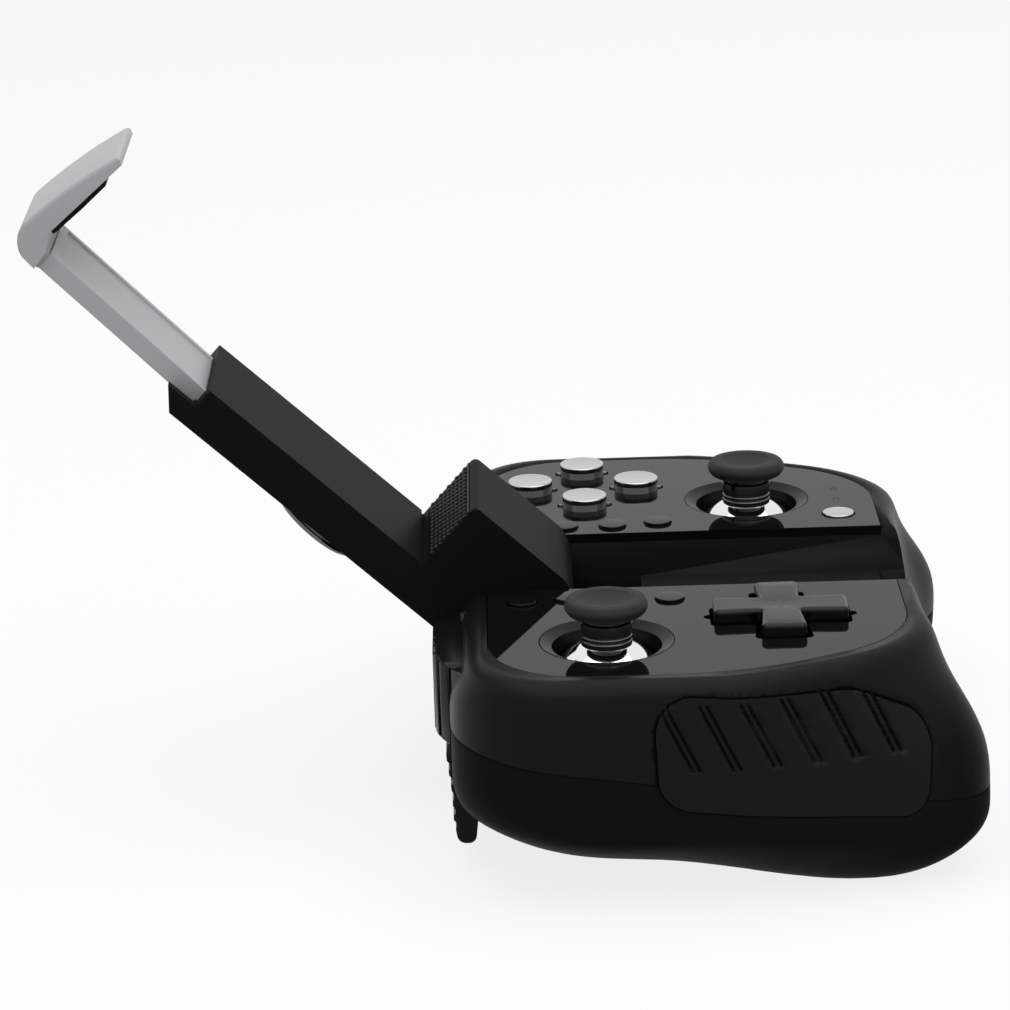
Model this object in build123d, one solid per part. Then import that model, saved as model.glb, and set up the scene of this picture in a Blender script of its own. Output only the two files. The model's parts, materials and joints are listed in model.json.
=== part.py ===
# Wireless gamepad with a fold-out phone holder
#
# The model is drawn on its face: x is the player's right, y points away from the player,
# z = 0 is the top of the two glossy face plates, x = 0 is the middle of the holder channel.
# It is set down on its grips when the pieces are written. All sizes are in millimetres.
import math
import os

from build123d import *

# Driving sizes: housing
STAND_HEIGHT = 46.0        # face plates above the table
MIDDLE_Y = 4.0             # the row's y = 0 lies this far in front of the plates' rear edge
BODY_DEPTH = 40.4          # face plates to the flat of the underside
SIDE_SWELL = 6.1           # the housing stands out this much beyond the face plates
REAR_Y = 6.5               # rear wall between the shoulder buttons
FRONT_Y = -85.8            # front edge of the housing beside the channel
GRIP_TIP = -96.4           # front end of the grips
GRIP_AT = (62.0, -74.0)    # where the right grip hangs lowest
GRIP_LOW = 6.3             # how far it hangs below the flat of the underside
GRIP_SPREAD = (17.0, 30.0, 22.0)   # reach of that swell: sideways, to the rear, to the front
WALL = 2.2
DECK = 4.2                 # top wall under the plates, plate recess included
PARTING_SLOPE = 8.3        # degrees, the seam falls towards the front
PARTING_Z = -15.2          # seam height at the rear
PIECE_GAP = 0.2            # clearance round pieces that only lie in each other

# Driving sizes: face plates
PLATE_THICK = 2.0
PLATE_HALF = 69.3
PLATE_REAR = -0.8
PLATE_FRONT = -82.7
RIM = 3.4                  # strip of housing round the plates, rolled over at its edge
HALF_WIDTH = PLATE_HALF + SIDE_SWELL

# Driving sizes: rubber grip pads, drawn in side view
GRIP_PAD = ((-31.6, -2.4, 7), (-70, -5.2, 14), (-85, -12.5, 9), (-83.4, -30, 5), (-32.6, -24.6, 7))
GRIP_PAD_PROUD = 0.3
GRIP_PAD_SINK = 0.9
GRIP_GROOVES = 6           # pairs of slanted grooves
GRIP_GROOVE_AT = (-36.4, -10.9)    # middle of the first pair
GRIP_GROOVE_PITCH = 7.65
GRIP_GROOVE_LEAN = 26.5    # degrees
GRIP_GROOVE_DEPTH = 0.5

# Driving sizes: channel, holder and slider, in the arm's own frame where named so
CHANNEL_HALF = 17.4
CHANNEL_DEPTH = 9.5
CHANNEL_WALL = 2.0
HINGE_Y = -5.0
HINGE_Z = -8.8
OPEN_ANGLE = 42.5          # degrees above the table at the open stop
HOLDER_HALF = 17.0
HOLDER_BACK = 9.1          # hinge axis to the holder's back face
HOLDER_FRONT = -0.4        # phone side of the sleeve, across the arm
JAW_HEIGHT = 15.5          # hinge axis to the lower jaw's outer face
JAW_AT = 22.2              # hinge axis to the phone side of the lower jaw
SLEEVE_END = 77.2
LIP_END = 84.2
PIN_RADIUS = 1.5
RUNNING = 0.05             # radial clearance of a pin that turns in its hole
POCKET_GAP = 0.6
SLIDER_HALF = 12.2
SLIDER_THICK = 3.9
SLIDER_RISE = 2.5          # degrees that the slider climbs from the sleeve
SLIDER_TRAVEL = 40.0
SLIDER_GAP = 0.15
SLOT_LENGTH = 51.5         # from the sleeve's end
SLIDER_MOUTH = -2.1       # top of the slider at the sleeve's end, across the arm
HOLDER_SEAM = -4.8         # where the holder's two halves meet, across the arm
JAW_HALF = 14.0
PAD_HALF = 15.2
PAD_LOW = 0.8
PAD_SINK = 0.6
PAD_PROUD = 0.3
JAW_RELIEF = (0.8, 0.5)    # width and depth of the relief along the jaw's foot
BADGE_AT = 41.0
BADGE_RADIUS = 10.2
BADGE_SINK = 0.5
BADGE_RIM = 2.9            # chrome rim above the holder's back
BADGE_DOME = 0.8           # the lens bulges this much above its own edge
RECESS_Y = -82.0           # rear wall of the recess that takes the folded upper jaw
RECESS_FLOOR = -31.0

# Driving sizes: controls
STICK_LEFT = (-48.7, -23.8)
STICK_RIGHT = (38.7, -56.1)
BEZEL_RADIUS = 13.0
WELL_RADIUS = 10.5
STICK_PIVOT = -11.6        # height of the point that a stick tilts about
DOME_RADIUS = 11.1
POST_RADIUS = 4.5
CAP_RADIUS = 8.25
CAP_BOTTOM = 5.0
CAP_TOP = 9.1
STICK_CLICK = 0.5
DPAD_AT = (-37.0, -58.0)
DPAD_HALF = 13.0
DPAD_ROOT = 7.8
DPAD_TIP = 9.8
DPAD_TOP = 3.4
DPAD_PIVOT = -4.5
DPAD_TILT = 5.0            # degrees
TRUNNION = 1.1             # radius of the trunnions that the cross rocks on
TRUNNION_REACH = 4.5
FORK_INNER = 3.0           # half the gap between a pair of ears
FACE_AT = (48.5, -21.8)
FACE_PITCH = 11.3          # diamond centre to each face button
FACE_RADIUS = 4.65
FACE_TOP = 2.4
FACE_CAP = 1.1             # thickness of the bright cap
FACE_TRAVEL = 1.3
SMALL_RADIUS = 2.7
SMALL_TOP = 1.0
SMALL_TRAVEL = 0.6
SMALL_SPOTS = {
    "select_button": (-25.2, -7.8),
    "mode_button": (-23.4, -16.9),
    "turbo_button": (-25.2, -37.0),
    "start_button": (22.6, -17.2),
    "play_button": (22.6, -27.2),
    "clear_button": (24.0, -36.7),
}
HOME_AT = (26.5, -74.6)
HOME_RADIUS = 3.25
HOME_RING = 4.5
LED_SPOTS = ((36.2, -74.9), (43.3, -74.9))
BUTTON_GAP = 0.3           # hole wall to button
FLANGE = 0.6               # how far a button's flange stands out
FLANGE_THICK = 0.9
FLANGE_GAP = 0.3           # flange to the underside of the plate
BOARD_TOP = -16.6
BOARD_THICK = 1.2
MAT_THICK = 0.7
MAT_DOME = 0.4             # key mat's domes above its sheet
CONTACT_GAP = 0.2          # pressed button to the key mat
SCREW_SPOTS = ((61.0, -40.0), (55.0, -71.0))
SCREW_RADIUS = 1.25
SCREW_HEAD = 2.4
SCREW_SEAT = -34.0
BOSS_RADIUS = 3.6
BATTERY = (52.0, 32.0, 6.8)
USB_SIZE = (7.6, 5.6, 2.8)
USB_FLOOR = -32.0

# Driving sizes: shoulder controls
BUMPER_IN = CHANNEL_HALF + 4.1
BUMPER_OUT = HALF_WIDTH - 14.4
BUMPER_INNER = 1.0
BUMPER_TOP = -3.6
BUMPER_BOTTOM = -19.6
BUMPER_REAR = 9.9
BUMPER_RIBS = 5
TRIGGER_IN = BUMPER_IN + 2.5
TRIGGER_OUT = BUMPER_OUT - 11.0
TRIGGER_PIVOT = (2.6, -23.4)
TRIGGER_HEAD = 2.0         # pivot to the trigger's top
TRIGGER_TIP = -40.6
TRIGGER_RIBS = 5
TRIGGER_PULL = 14.0        # degrees
BUMPER_PIVOT = (BUMPER_IN + 2.5, 3.6)
BUMPER_PRESS = 2.0         # degrees
SMALL_PIN = 1.0            # radius of the pins in the shoulder controls
SWITCH_AT = 36.0           # push switch behind the bumper, from the middle
MOVE_GAP = 0.45            # clearance all round the shoulder controls' travel

ARM = Plane(
    origin=(0, HINGE_Y, HINGE_Z),
    x_dir=(0, math.cos(math.radians(OPEN_ANGLE)), math.sin(math.radians(OPEN_ANGLE))),
    z_dir=(1, 0, 0),
)


def outline(*corners):
    """A closed outline through corners (x, y, radius), each rounded by its own radius."""
    points = [(x, y) for x, y, _ in corners]
    radii = [r for _, _, r in corners]
    return make_face(FilletPolyline(*points, radius=radii, close=True))


def across(face, x0, x1, frame=Plane.YZ):
    """A side outline carried from x0 to x1."""
    return extrude(frame.offset(x0) * face, amount=x1 - x0)


def upright(face, z0, z1):
    """A plan outline carried from z0 up to z1."""
    return extrude(Plane.XY.offset(z0) * face, amount=z1 - z0)


def block(x0, x1, y0, y1, z0, z1):
    return Pos((x0 + x1) / 2, (y0 + y1) / 2, (z0 + z1) / 2) * Box(x1 - x0, y1 - y0, z1 - z0)


def rod(x, y, radius, z0, z1):
    return Pos(x, y, (z0 + z1) / 2) * Cylinder(radius, z1 - z0)


def cross_rod(y, z, radius, x0, x1):
    """A rod along x."""
    return Pos((x0 + x1) / 2, y, z) * Rot(0, 90, 0) * Cylinder(radius, x1 - x0)


def turned(x, y, *profile):
    """A solid turned about an upright axis at (x, y) from its half profile."""
    face = make_face(Polyline(*profile, close=True))
    return Pos(x, y, 0) * revolve(Plane.XZ * face, Axis.Z)


def mirrored(shape):
    return mirror(shape, Plane.YZ)


# Housing

def plate_outline(grow=0.0):
    """One face plate's outline on the right, from the channel out."""
    side = PLATE_HALF + grow
    rear = PLATE_REAR + grow
    front = PLATE_FRONT - grow
    inner = CHANNEL_HALF - grow
    return outline(
        (inner, rear, 0), (side, rear, 19 + grow), (side, -50, 60 + grow),
        (52 + grow, front, 26 + grow), (inner, front, 0),
    )


def softened(corners, rounds=2):
    """Points of the smooth closed curve that a polygon's corners pull outwards.

    Each round puts two points on every side, a quarter and three quarters along it.
    """
    for _ in range(rounds):
        sides = zip(corners, corners[1:] + corners[:1])
        corners = [a + (b - a) * share for a, b in sides for share in (0.25, 0.75)]
    return corners


def ring(z, side, rear, shoulder, grip_x, grip_y, front, low, grow):
    """One smooth ring round the housing at height z, dipped by low under the grips.

    The sizes are those of its corner polygon, which the ring runs inside.
    """
    side += grow
    rear += grow
    grip_x += grow
    grip_y -= grow
    front -= grow
    right = [
        (side - shoulder, rear), (side, rear), (side, rear - shoulder),
        (side, min(-50, rear - shoulder - 8)), (grip_x, grip_y), (20, front),
    ]
    left = [(-x, y) for x, y in reversed(right)]
    wide, to_rear, to_front = GRIP_SPREAD
    points = []
    for p in softened([Vector(x, y) for x, y in right + left]):
        off_x = (abs(p.X) - GRIP_AT[0]) / wide
        off_y = (p.Y - GRIP_AT[1]) / (to_rear if p.Y > GRIP_AT[1] else to_front)
        points.append(Vector(p.X, p.Y, z - low * math.exp(-off_x ** 2 - off_y ** 2)))
    steps = [i / len(points) for i in range(len(points) + 1)]
    return Wire([Edge.make_spline(points, periodic=True, parameters=steps)])


def body_form(wall=0.0, top=0.0):
    """The housing's outer form, or with a wall its hollow, lofted through rings from the top down."""
    grip = GRIP_TIP - 5.0
    low = wall - BODY_DEPTH
    half = HALF_WIDTH
    table = (
        (top, PLATE_HALF + RIM * 0.5, PLATE_REAR + 1.2, 38, 54, PLATE_FRONT - 1.8, PLATE_FRONT - 1.8, 0),
        (top - 0.8, PLATE_HALF + RIM, PLATE_REAR + 2.6, 40, 54.5, PLATE_FRONT - 4.0, PLATE_FRONT - 2.6, 0),
        (top - 7, half - 0.5, REAR_Y - 0.6, 48, 57.5, grip + 11, FRONT_Y - 1.0, 0),
        (-15, half, REAR_Y, 49, 60.5, grip + 4.6, FRONT_Y - 1.6, 0),
        (-24, half, REAR_Y, 50, 63.5, grip - 0.4, FRONT_Y - 2.0, 0),
        (-33, half - 2.0, 2.5, 58, 64, grip - 0.6, FRONT_Y - 1.0, 1.4),
        (-38.2 + wall, half - 10.5, -7.0, 42, 62, grip + 6, FRONT_Y + 5.0, GRIP_LOW),
        (low, half - 20, -16, 30, 55, grip + 22, FRONT_Y + 14, GRIP_LOW),
        (low, half - 31, -24, 22, 45, grip + 36, FRONT_Y + 25, GRIP_LOW),
        (low, half - 42, -31, 14, 34, grip + 47, FRONT_Y + 34, GRIP_LOW),
        (low, half - 53, -37, 6, 22, grip + 54, FRONT_Y + 40, 0),
    )
    return Solid.make_loft([ring(*row, -wall) for row in table])


def grip_pad_shape(grow=0.0):
    """The right grip pad's outline carried through the housing's side."""
    return across(offset(outline(*GRIP_PAD), grow), HALF_WIDTH - 25, HALF_WIDTH + 5)


def grip_pocket():
    """What the grip pad takes from the shells."""
    return grip_pad_shape(PIECE_GAP / 2) - body_form(GRIP_PAD_SINK + PIECE_GAP / 2)


def grip_pad():
    """The rubber pad on the right grip: it follows the housing and has slanted grooves."""
    pad = (grip_pad_shape() & body_form(-GRIP_PAD_PROUD)) - body_form(GRIP_PAD_SINK)
    y, z = GRIP_GROOVE_AT
    lines = Sketch()
    for pair in range(GRIP_GROOVES):
        for twin in (-0.7, 0.7):
            at = Pos(y + twin - pair * GRIP_GROOVE_PITCH, z) * Rot(0, 0, -GRIP_GROOVE_LEAN)
            lines += at * SlotOverall(14.5, 0.6, rotation=90)
    grooves = across(lines, HALF_WIDTH - 25, HALF_WIDTH + 5)
    return pad - (grooves - body_form(GRIP_GROOVE_DEPTH - GRIP_PAD_PROUD))


def parting_plane():
    """The seam between the shells, falling towards the front."""
    slope = math.radians(PARTING_SLOPE)
    return Plane(
        origin=(0, 0, PARTING_Z), x_dir=(1, 0, 0), z_dir=(0, -math.sin(slope), math.cos(slope))
    )


def sleeve_back_line(y):
    """Height of the open holder's back face at y."""
    angle = math.radians(OPEN_ANGLE)
    return HINGE_Z - HOLDER_BACK / math.cos(angle) + (y - HINGE_Y) * math.tan(angle)


def tub(grow=0.0):
    """The channel and the pocket for the lower jaw; with grow, the walls round them."""
    half = CHANNEL_HALF + grow
    reach = math.hypot(JAW_AT, JAW_HEIGHT) + POCKET_GAP + grow
    floor = HINGE_Z - JAW_HEIGHT - POCKET_GAP - 0.4 - grow
    rear = HINGE_Y + HOLDER_BACK + 0.5
    round_wall = cross_rod(HINGE_Y, HINGE_Z, reach, -half, half)
    pocket = round_wall & block(-half, half, -60, rear + 4 * grow, floor, 1)
    lane = block(-half, half, -120, rear + 4 * grow, -CHANNEL_DEPTH - grow, 1)
    space = pocket + lane + block(-half, half, -20, rear + 4 * grow, -CHANNEL_DEPTH, 1)
    if grow == 0:
        gap = 0.54
        notch = make_face(Polyline(
            (rear - 0.1, sleeve_back_line(rear - 0.1) - gap), (12, sleeve_back_line(12) - gap),
            (12, 5), (rear - 0.1, 5), close=True,
        ))
        space += across(notch, -half, half)
        space += block(-JAW_HALF - 1.5, JAW_HALF + 1.5, -120, RECESS_Y, RECESS_FLOOR, 1)
    return space


def shells(outer):
    """The upper and the lower shell, hollow, with the tub hanging from the upper one."""
    hollow = body_form(WALL, -DECK)
    walls = tub(CHANNEL_WALL) & outer
    half = JAW_HALF + 3.5
    apron = block(-half, half, -120, RECESS_Y + WALL, RECESS_FLOOR - CHANNEL_WALL, 0) & outer
    seam = parting_plane()
    skin = (outer - hollow) + apron
    upper = split(skin, bisect_by=seam, keep=Keep.TOP) + walls - tub()
    lower = split(skin, bisect_by=seam, keep=Keep.BOTTOM) - tub(CHANNEL_WALL + PIECE_GAP) - tub()
    return upper, lower


def dpad_face(half, root, tip, notch=0.0):
    """A cross with arms that widen outwards."""
    face = None
    for turn in range(4):
        arm = outline((0, -root / 2, 0), (half, -tip / 2, 1.4), (half, tip / 2, 1.4), (0, root / 2, 0))
        face = Rot(0, 0, 90 * turn) * arm if face is None else face + Rot(0, 0, 90 * turn) * arm
    if notch:
        for x, y in ((half, 0), (-half, 0)):
            face += Pos(y, x) * Circle(notch)
        for sx, sy in ((1, 1), (1, -1), (-1, 1), (-1, -1)):
            face += Pos(sx * root / 2, sy * root / 2) * Circle(notch)
    return Pos(*DPAD_AT) * face


def face_spots():
    x, y = FACE_AT
    return {
        "right_face_button": (x + FACE_PITCH, y),
        "rear_face_button": (x, y + FACE_PITCH),
        "left_face_button": (x - FACE_PITCH, y),
        "front_face_button": (x, y - FACE_PITCH),
    }


def control_holes(plate):
    """What is cut from the plates, or from the wider deck under them."""
    grow = BUTTON_GAP if plate else BUTTON_GAP + FLANGE + 0.4
    bottom = -PLATE_THICK - 0.5 if plate else -DECK - 3
    cuts = []
    for x, y in (STICK_LEFT, STICK_RIGHT):
        cuts.append(rod(x, y, BEZEL_RADIUS + 0.1, -DECK - 3, 1))
    for x, y in face_spots().values():
        cuts.append(rod(x, y, FACE_RADIUS + grow, bottom, 1))
        if plate:
            cuts.append(block(x - 1, x + 1, y - FACE_RADIUS - 1.1, y + FACE_RADIUS + 1.1, bottom, 1))
    for x, y in SMALL_SPOTS.values():
        cuts.append(rod(x, y, SMALL_RADIUS + grow, bottom, 1))
    cuts.append(rod(*HOME_AT, HOME_RADIUS + grow, bottom, 1))
    if plate:
        cuts.append(upright(dpad_face(DPAD_HALF + 0.7, DPAD_ROOT + 1.4, DPAD_TIP + 1.4, 1.2), bottom, 1))
    else:
        cuts.append(rod(*DPAD_AT, DPAD_HALF + 2.2, bottom, 1))
    for x, y in LED_SPOTS:
        cuts.append(block(x - 1.0, x + 1.0, y - 0.6, y + 0.6, -DECK - 3, 1))
    return cuts


def face_plate(right):
    """A glossy plate that lies flush in the upper shell, with its control holes."""
    plate = upright(plate_outline(-0.15), -PLATE_THICK, 0)
    if not right:
        plate = mirrored(plate)
    for cut in control_holes(True):
        plate -= cut
    return plate


def stick_bezel(x, y):
    """The conical ring round a stick's well."""
    return turned(
        x, y, (WELL_RADIUS, -3.4), (WELL_RADIUS, -2.9), (BEZEL_RADIUS - 0.4, -0.15),
        (BEZEL_RADIUS, -0.15), (BEZEL_RADIUS, -DECK), (WELL_RADIUS + 1.2, -DECK),
    )


# Sticks

def stick_module(x, y):
    """The open-topped box that a stick's gimbal turns in."""
    top = STICK_PIVOT + 2.0
    box = block(x - 8, x + 8, y - 8, y + 8, BOARD_TOP, top)
    box -= block(x - 6.3, x + 6.3, y - 6.3, y + 6.3, BOARD_TOP + 1.2, top + 1)
    return box - cross_rod(y, STICK_PIVOT, 1.0 + RUNNING, x - 9, x + 9)


def stick_yoke(x, y):
    """The ring that tilts about x and carries the shaft's cross pin."""
    z = STICK_PIVOT
    ring = block(x - 5.4, x + 5.4, y - 4.5, y + 4.5, z - 1.5, z + 1.5)
    ring -= block(x - 3.9, x + 3.9, y - 3.1, y + 3.1, z - 2, z + 2)
    for side in (-1, 1):
        ring += cross_rod(y, z, 1.0, x + side * 6.6 - 1.3, x + side * 6.6 + 1.3)
    return ring - Pos(x, y, z) * Rot(90, 0, 0) * Cylinder(0.8 + RUNNING, 12)


def stick_shaft(x, y):
    """The steel shaft with its ball and cross pin."""
    z = STICK_PIVOT
    shaft = rod(x, y, 1.6, z - 2.4, CAP_BOTTOM - 1.5) + Pos(x, y, z) * Sphere(2.5)
    return shaft + Pos(x, y, z) * Rot(90, 0, 0) * Cylinder(0.8, 8.8)


def stick_post(x, y):
    """The bright dome and grooved post, hollow over the shaft."""
    top = STICK_PIVOT + DOME_RADIUS
    dome = Pos(x, y, STICK_PIVOT) * (Sphere(DOME_RADIUS) - Sphere(DOME_RADIUS - 1.2))
    edge = math.radians(54)
    reach = DOME_RADIUS * 1.5
    cone = turned(
        x, y, (0, STICK_PIVOT), (reach * math.sin(edge), STICK_PIVOT + reach * math.cos(edge)),
        (0, STICK_PIVOT + reach),
    )
    post = turned(
        x, y, (0, top - 2.5), (3.0, top - 2.5), (5.2, top - 1.4), (POST_RADIUS, top + 0.3),
        (POST_RADIUS, top + 0.9), (POST_RADIUS - 0.4, top + 1.2), (POST_RADIUS - 0.4, top + 1.6),
        (POST_RADIUS, top + 1.9), (POST_RADIUS, CAP_BOTTOM), (0, CAP_BOTTOM),
    )
    bore = rod(x, y, 1.6 + RUNNING, STICK_PIVOT, CAP_BOTTOM - 1.5 + STICK_CLICK + 0.2)
    return (dome & cone) + post - bore


def stick_cap(x, y):
    """The rubber cap: round rim, dished top."""
    half = (CAP_TOP - CAP_BOTTOM) / 2
    rim = CAP_RADIUS - half
    dish = 1.1
    curve = (rim * rim + dish * dish) / (2 * dish)
    mid_drop = dish - (curve - math.sqrt(curve * curve - rim * rim / 4))
    with BuildSketch() as profile:
        with BuildLine():
            Line((0, CAP_BOTTOM), (rim, CAP_BOTTOM))
            ThreePointArc((rim, CAP_BOTTOM), (CAP_RADIUS, CAP_BOTTOM + half), (rim, CAP_TOP))
            ThreePointArc((rim, CAP_TOP), (rim / 2, CAP_TOP - mid_drop), (0, CAP_TOP - dish))
            Line((0, CAP_TOP - dish), (0, CAP_BOTTOM))
        make_face()
    return Pos(x, y, 0) * revolve(Plane.XZ * profile.sketch, Axis.Z)


# Buttons

def button_stem(x, y, radius, travel):
    """Flange under the plate, and the stem that reaches down to the key mat."""
    flange_top = -PLATE_THICK - FLANGE_GAP
    foot = BOARD_TOP + MAT_THICK + MAT_DOME + CONTACT_GAP + travel
    stem = rod(x, y, radius * 0.6, foot, flange_top)
    return stem + rod(x, y, radius + FLANGE, flange_top - FLANGE_THICK, flange_top)


def face_button(x, y):
    """Dark glossy body with its flange and stem; the bright cap lies on it."""
    body = rod(x, y, FACE_RADIUS, -PLATE_THICK - FLANGE_GAP - 0.1, FACE_TOP - FACE_CAP)
    for side in (-1, 1):
        body += block(x - 0.8, x + 0.8, y + side * FACE_RADIUS - 0.7, y + side * FACE_RADIUS + 0.7,
                      -PLATE_THICK - FLANGE_GAP - 0.1, 0.2)
    return body + button_stem(x, y, FACE_RADIUS, FACE_TRAVEL)


def face_cap(x, y):
    """A dished metal cap."""
    r = FACE_RADIUS
    under = FACE_TOP - FACE_CAP
    cap = turned(
        x, y, (0, under), (r, under), (r, FACE_TOP - 0.45), (r - 0.15, FACE_TOP - 0.15),
        (r - 0.45, FACE_TOP), (0, FACE_TOP),
    )
    dish = 30.0
    return cap - Pos(x, y, FACE_TOP + dish - 0.35) * Sphere(dish)


def small_button(x, y, radius, top, travel):
    """A low domed button with its flange and stem."""
    dome = (radius * radius + top * top) / (2 * top) * 1.3
    body = rod(x, y, radius, -PLATE_THICK - FLANGE_GAP - 0.1, top)
    body &= Pos(x, y, top - dome) * Sphere(dome)
    return body + button_stem(x, y, radius, travel)


def ears(along_x, z0, z1):
    """A pair of ears with bores for the trunnions, which point along x or along y."""
    x, y = DPAD_AT
    pair = None
    for side in (-1, 1):
        mid = side * (FORK_INNER + TRUNNION_REACH) / 2
        thick = TRUNNION_REACH - FORK_INNER
        size = Box(thick, 4.0, z1 - z0) if along_x else Box(4.0, thick, z1 - z0)
        ear = Pos(x + mid if along_x else x, y if along_x else y + mid, (z0 + z1) / 2) * size
        pair = ear if pair is None else pair + ear
    return pair - trunnion(along_x, TRUNNION + RUNNING, TRUNNION_REACH + 1)


def trunnion(along_x, radius, reach):
    turn = Rot(0, 90, 0) if along_x else Rot(90, 0, 0)
    return Pos(*DPAD_AT, DPAD_PIVOT) * turn * Cylinder(radius, 2 * reach)


def dpad():
    """The cross, dished on top, with two ears that rock on the rocker and a stem under each arm."""
    x, y = DPAD_AT
    cross = upright(dpad_face(DPAD_HALF, DPAD_ROOT, DPAD_TIP), -1.6, DPAD_TOP)
    dish = 90.0
    cross -= Pos(x, y, DPAD_TOP + dish - 0.9) * Sphere(dish)
    cross = cross + ears(False, DPAD_PIVOT - 1.9, -1.6)
    step = DPAD_HALF * 0.7
    foot = BOARD_TOP + MAT_THICK + MAT_DOME + CONTACT_GAP + step * math.sin(math.radians(DPAD_TILT))
    for dx, dy in ((step, 0), (-step, 0), (0, step), (0, -step)):
        cross += rod(x + dx, y + dy, 1.5, foot, -1.5)
    return cross


def dpad_rocker():
    """The small cross of trunnions between the post and the directional pad."""
    hub = Pos(*DPAD_AT, DPAD_PIVOT) * Box(3.4, 3.4, 2.8)
    return hub + trunnion(True, TRUNNION, TRUNNION_REACH) + trunnion(False, TRUNNION, TRUNNION_REACH)


def dpad_post():
    """The post on the board, forked at its top for the rocker."""
    foot = DPAD_PIVOT - 3.4
    post = rod(*DPAD_AT, 3.0, BOARD_TOP, foot)
    x, y = DPAD_AT
    post += block(x - TRUNNION_REACH, x + TRUNNION_REACH, y - 2, y + 2, foot - 1.2, foot)
    return post + ears(True, foot, DPAD_PIVOT + 1.9)


# Shoulder controls

def bumper_plan():
    return outline(
        (BUMPER_IN, BUMPER_INNER, 0.5), (BUMPER_IN, BUMPER_REAR, 2.0), (BUMPER_OUT - 14, BUMPER_REAR, 22),
        (BUMPER_OUT, BUMPER_INNER + 0.2, 2.5), (BUMPER_OUT - 2.5, BUMPER_INNER - 3.0, 0.8),
        (BUMPER_OUT - 11, BUMPER_INNER, 3),
    )


def bumper():
    """A shoulder button on the right: it wraps round the corner and turns on an upright pin.

    Upright grooves between low ribs run down its outer half.
    """
    plan = bumper_plan()
    body = upright(plan, BUMPER_BOTTOM, BUMPER_TOP)
    body = chamfer(body.faces().sort_by(Axis.Z)[0].edges(), 0.4)
    body -= rod(*BUMPER_PIVOT, SMALL_PIN + RUNNING, BUMPER_BOTTOM - 1, BUMPER_TOP + 1)
    first = BUMPER_OUT - 27
    for rib in range(BUMPER_RIBS):
        x = first + rib * 4.6
        edge = (plan & Pos(x, 0) * Rectangle(0.1, 60)).bounding_box().max.Y
        groove = Pos(x, edge, (BUMPER_BOTTOM + BUMPER_TOP) / 2) * Rot(0, 0, 45) * Box(1.2, 1.2, 30)
        body -= groove
    return body


def bumper_bay():
    """The room that the bumper needs through its travel."""
    room = None
    pivot = Pos(*BUMPER_PIVOT)
    for angle in (0, BUMPER_PRESS):
        plan = offset(pivot * Rot(0, 0, -angle) * pivot.inverse() * bumper_plan(), MOVE_GAP)
        swept = upright(plan, BUMPER_BOTTOM - MOVE_GAP, BUMPER_TOP + MOVE_GAP)
        room = swept if room is None else room + swept
    return room


def trigger_profile():
    y, z = TRIGGER_PIVOT
    top = z + TRIGGER_HEAD
    return outline(
        (y - 2.4, top, 1.0), (7.9, top, 1.0), (6.9, -30, 8), (6.7, -36, 6), (5.9, TRIGGER_TIP, 1.8),
        (2.5, TRIGGER_TIP, 1.6), (1.9, -35.4, 1.2), (-1.8, -34.9, 0.6),
    )


def trigger():
    """A trigger on the right, ribbed on its rear face, hooked at its tip, on a pin across its top."""
    side = trigger_profile()
    body = across(side, TRIGGER_IN, TRIGGER_OUT)
    body -= cross_rod(*TRIGGER_PIVOT, SMALL_PIN + RUNNING, TRIGGER_IN - 1, TRIGGER_OUT + 1)
    radius, depth = 1.5, 0.45
    for rib in range(TRIGGER_RIBS):
        z = TRIGGER_PIVOT[1] - 1.2 - rib * 3.1
        edge = (side & Pos(0, z) * Rectangle(60, 0.1)).bounding_box().max.X
        body -= cross_rod(edge + radius - depth, z, radius, TRIGGER_IN - 1, TRIGGER_OUT + 1)
    return body


def trigger_bay():
    """The room that the trigger needs through its travel, open to the rear."""
    y, z = TRIGGER_PIVOT
    pull = math.sin(math.radians(TRIGGER_PULL))
    tip = 2.5 - (z - TRIGGER_TIP) * pull
    knee = -1.8 - (z + 34.9) * pull
    low = TRIGGER_TIP - 2 * MOVE_GAP
    side = outline(
        (y - 2.4 - 2 * MOVE_GAP, z + TRIGGER_HEAD + MOVE_GAP, 0), (REAR_Y + 6, z + TRIGGER_HEAD + MOVE_GAP, 0),
        (REAR_Y + 6, low, 0), (tip - MOVE_GAP, low, 0), (knee - MOVE_GAP, -36, 0), (knee - MOVE_GAP, -32, 0),
    )
    return across(side, TRIGGER_IN - MOVE_GAP, TRIGGER_OUT + MOVE_GAP)


def trigger_ears(outer):
    """The two walls beside the trigger that carry its pin."""
    y, z = TRIGGER_PIVOT
    pair = None
    for x in (TRIGGER_IN - MOVE_GAP - 2.0, TRIGGER_OUT + MOVE_GAP):
        ear = block(x, x + 2.0, y - 3.4, y + 6, z - 4, z + 3) & outer
        pair = ear if pair is None else pair + ear
    return pair


def shoulder_pins(grow=0.0):
    """The pins of the right trigger and bumper and their mirror images; grown, the holes."""
    reach = MOVE_GAP + 1.9 + grow
    radius = SMALL_PIN + grow
    across_pin = cross_rod(*TRIGGER_PIVOT, radius, TRIGGER_IN - reach, TRIGGER_OUT + reach)
    upright_pin = rod(*BUMPER_PIVOT, radius, BUMPER_BOTTOM - 1.0 - grow, BUMPER_TOP + 1.5 + grow)
    return [across_pin, upright_pin, mirrored(across_pin), mirrored(upright_pin)]


# Holder

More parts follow.
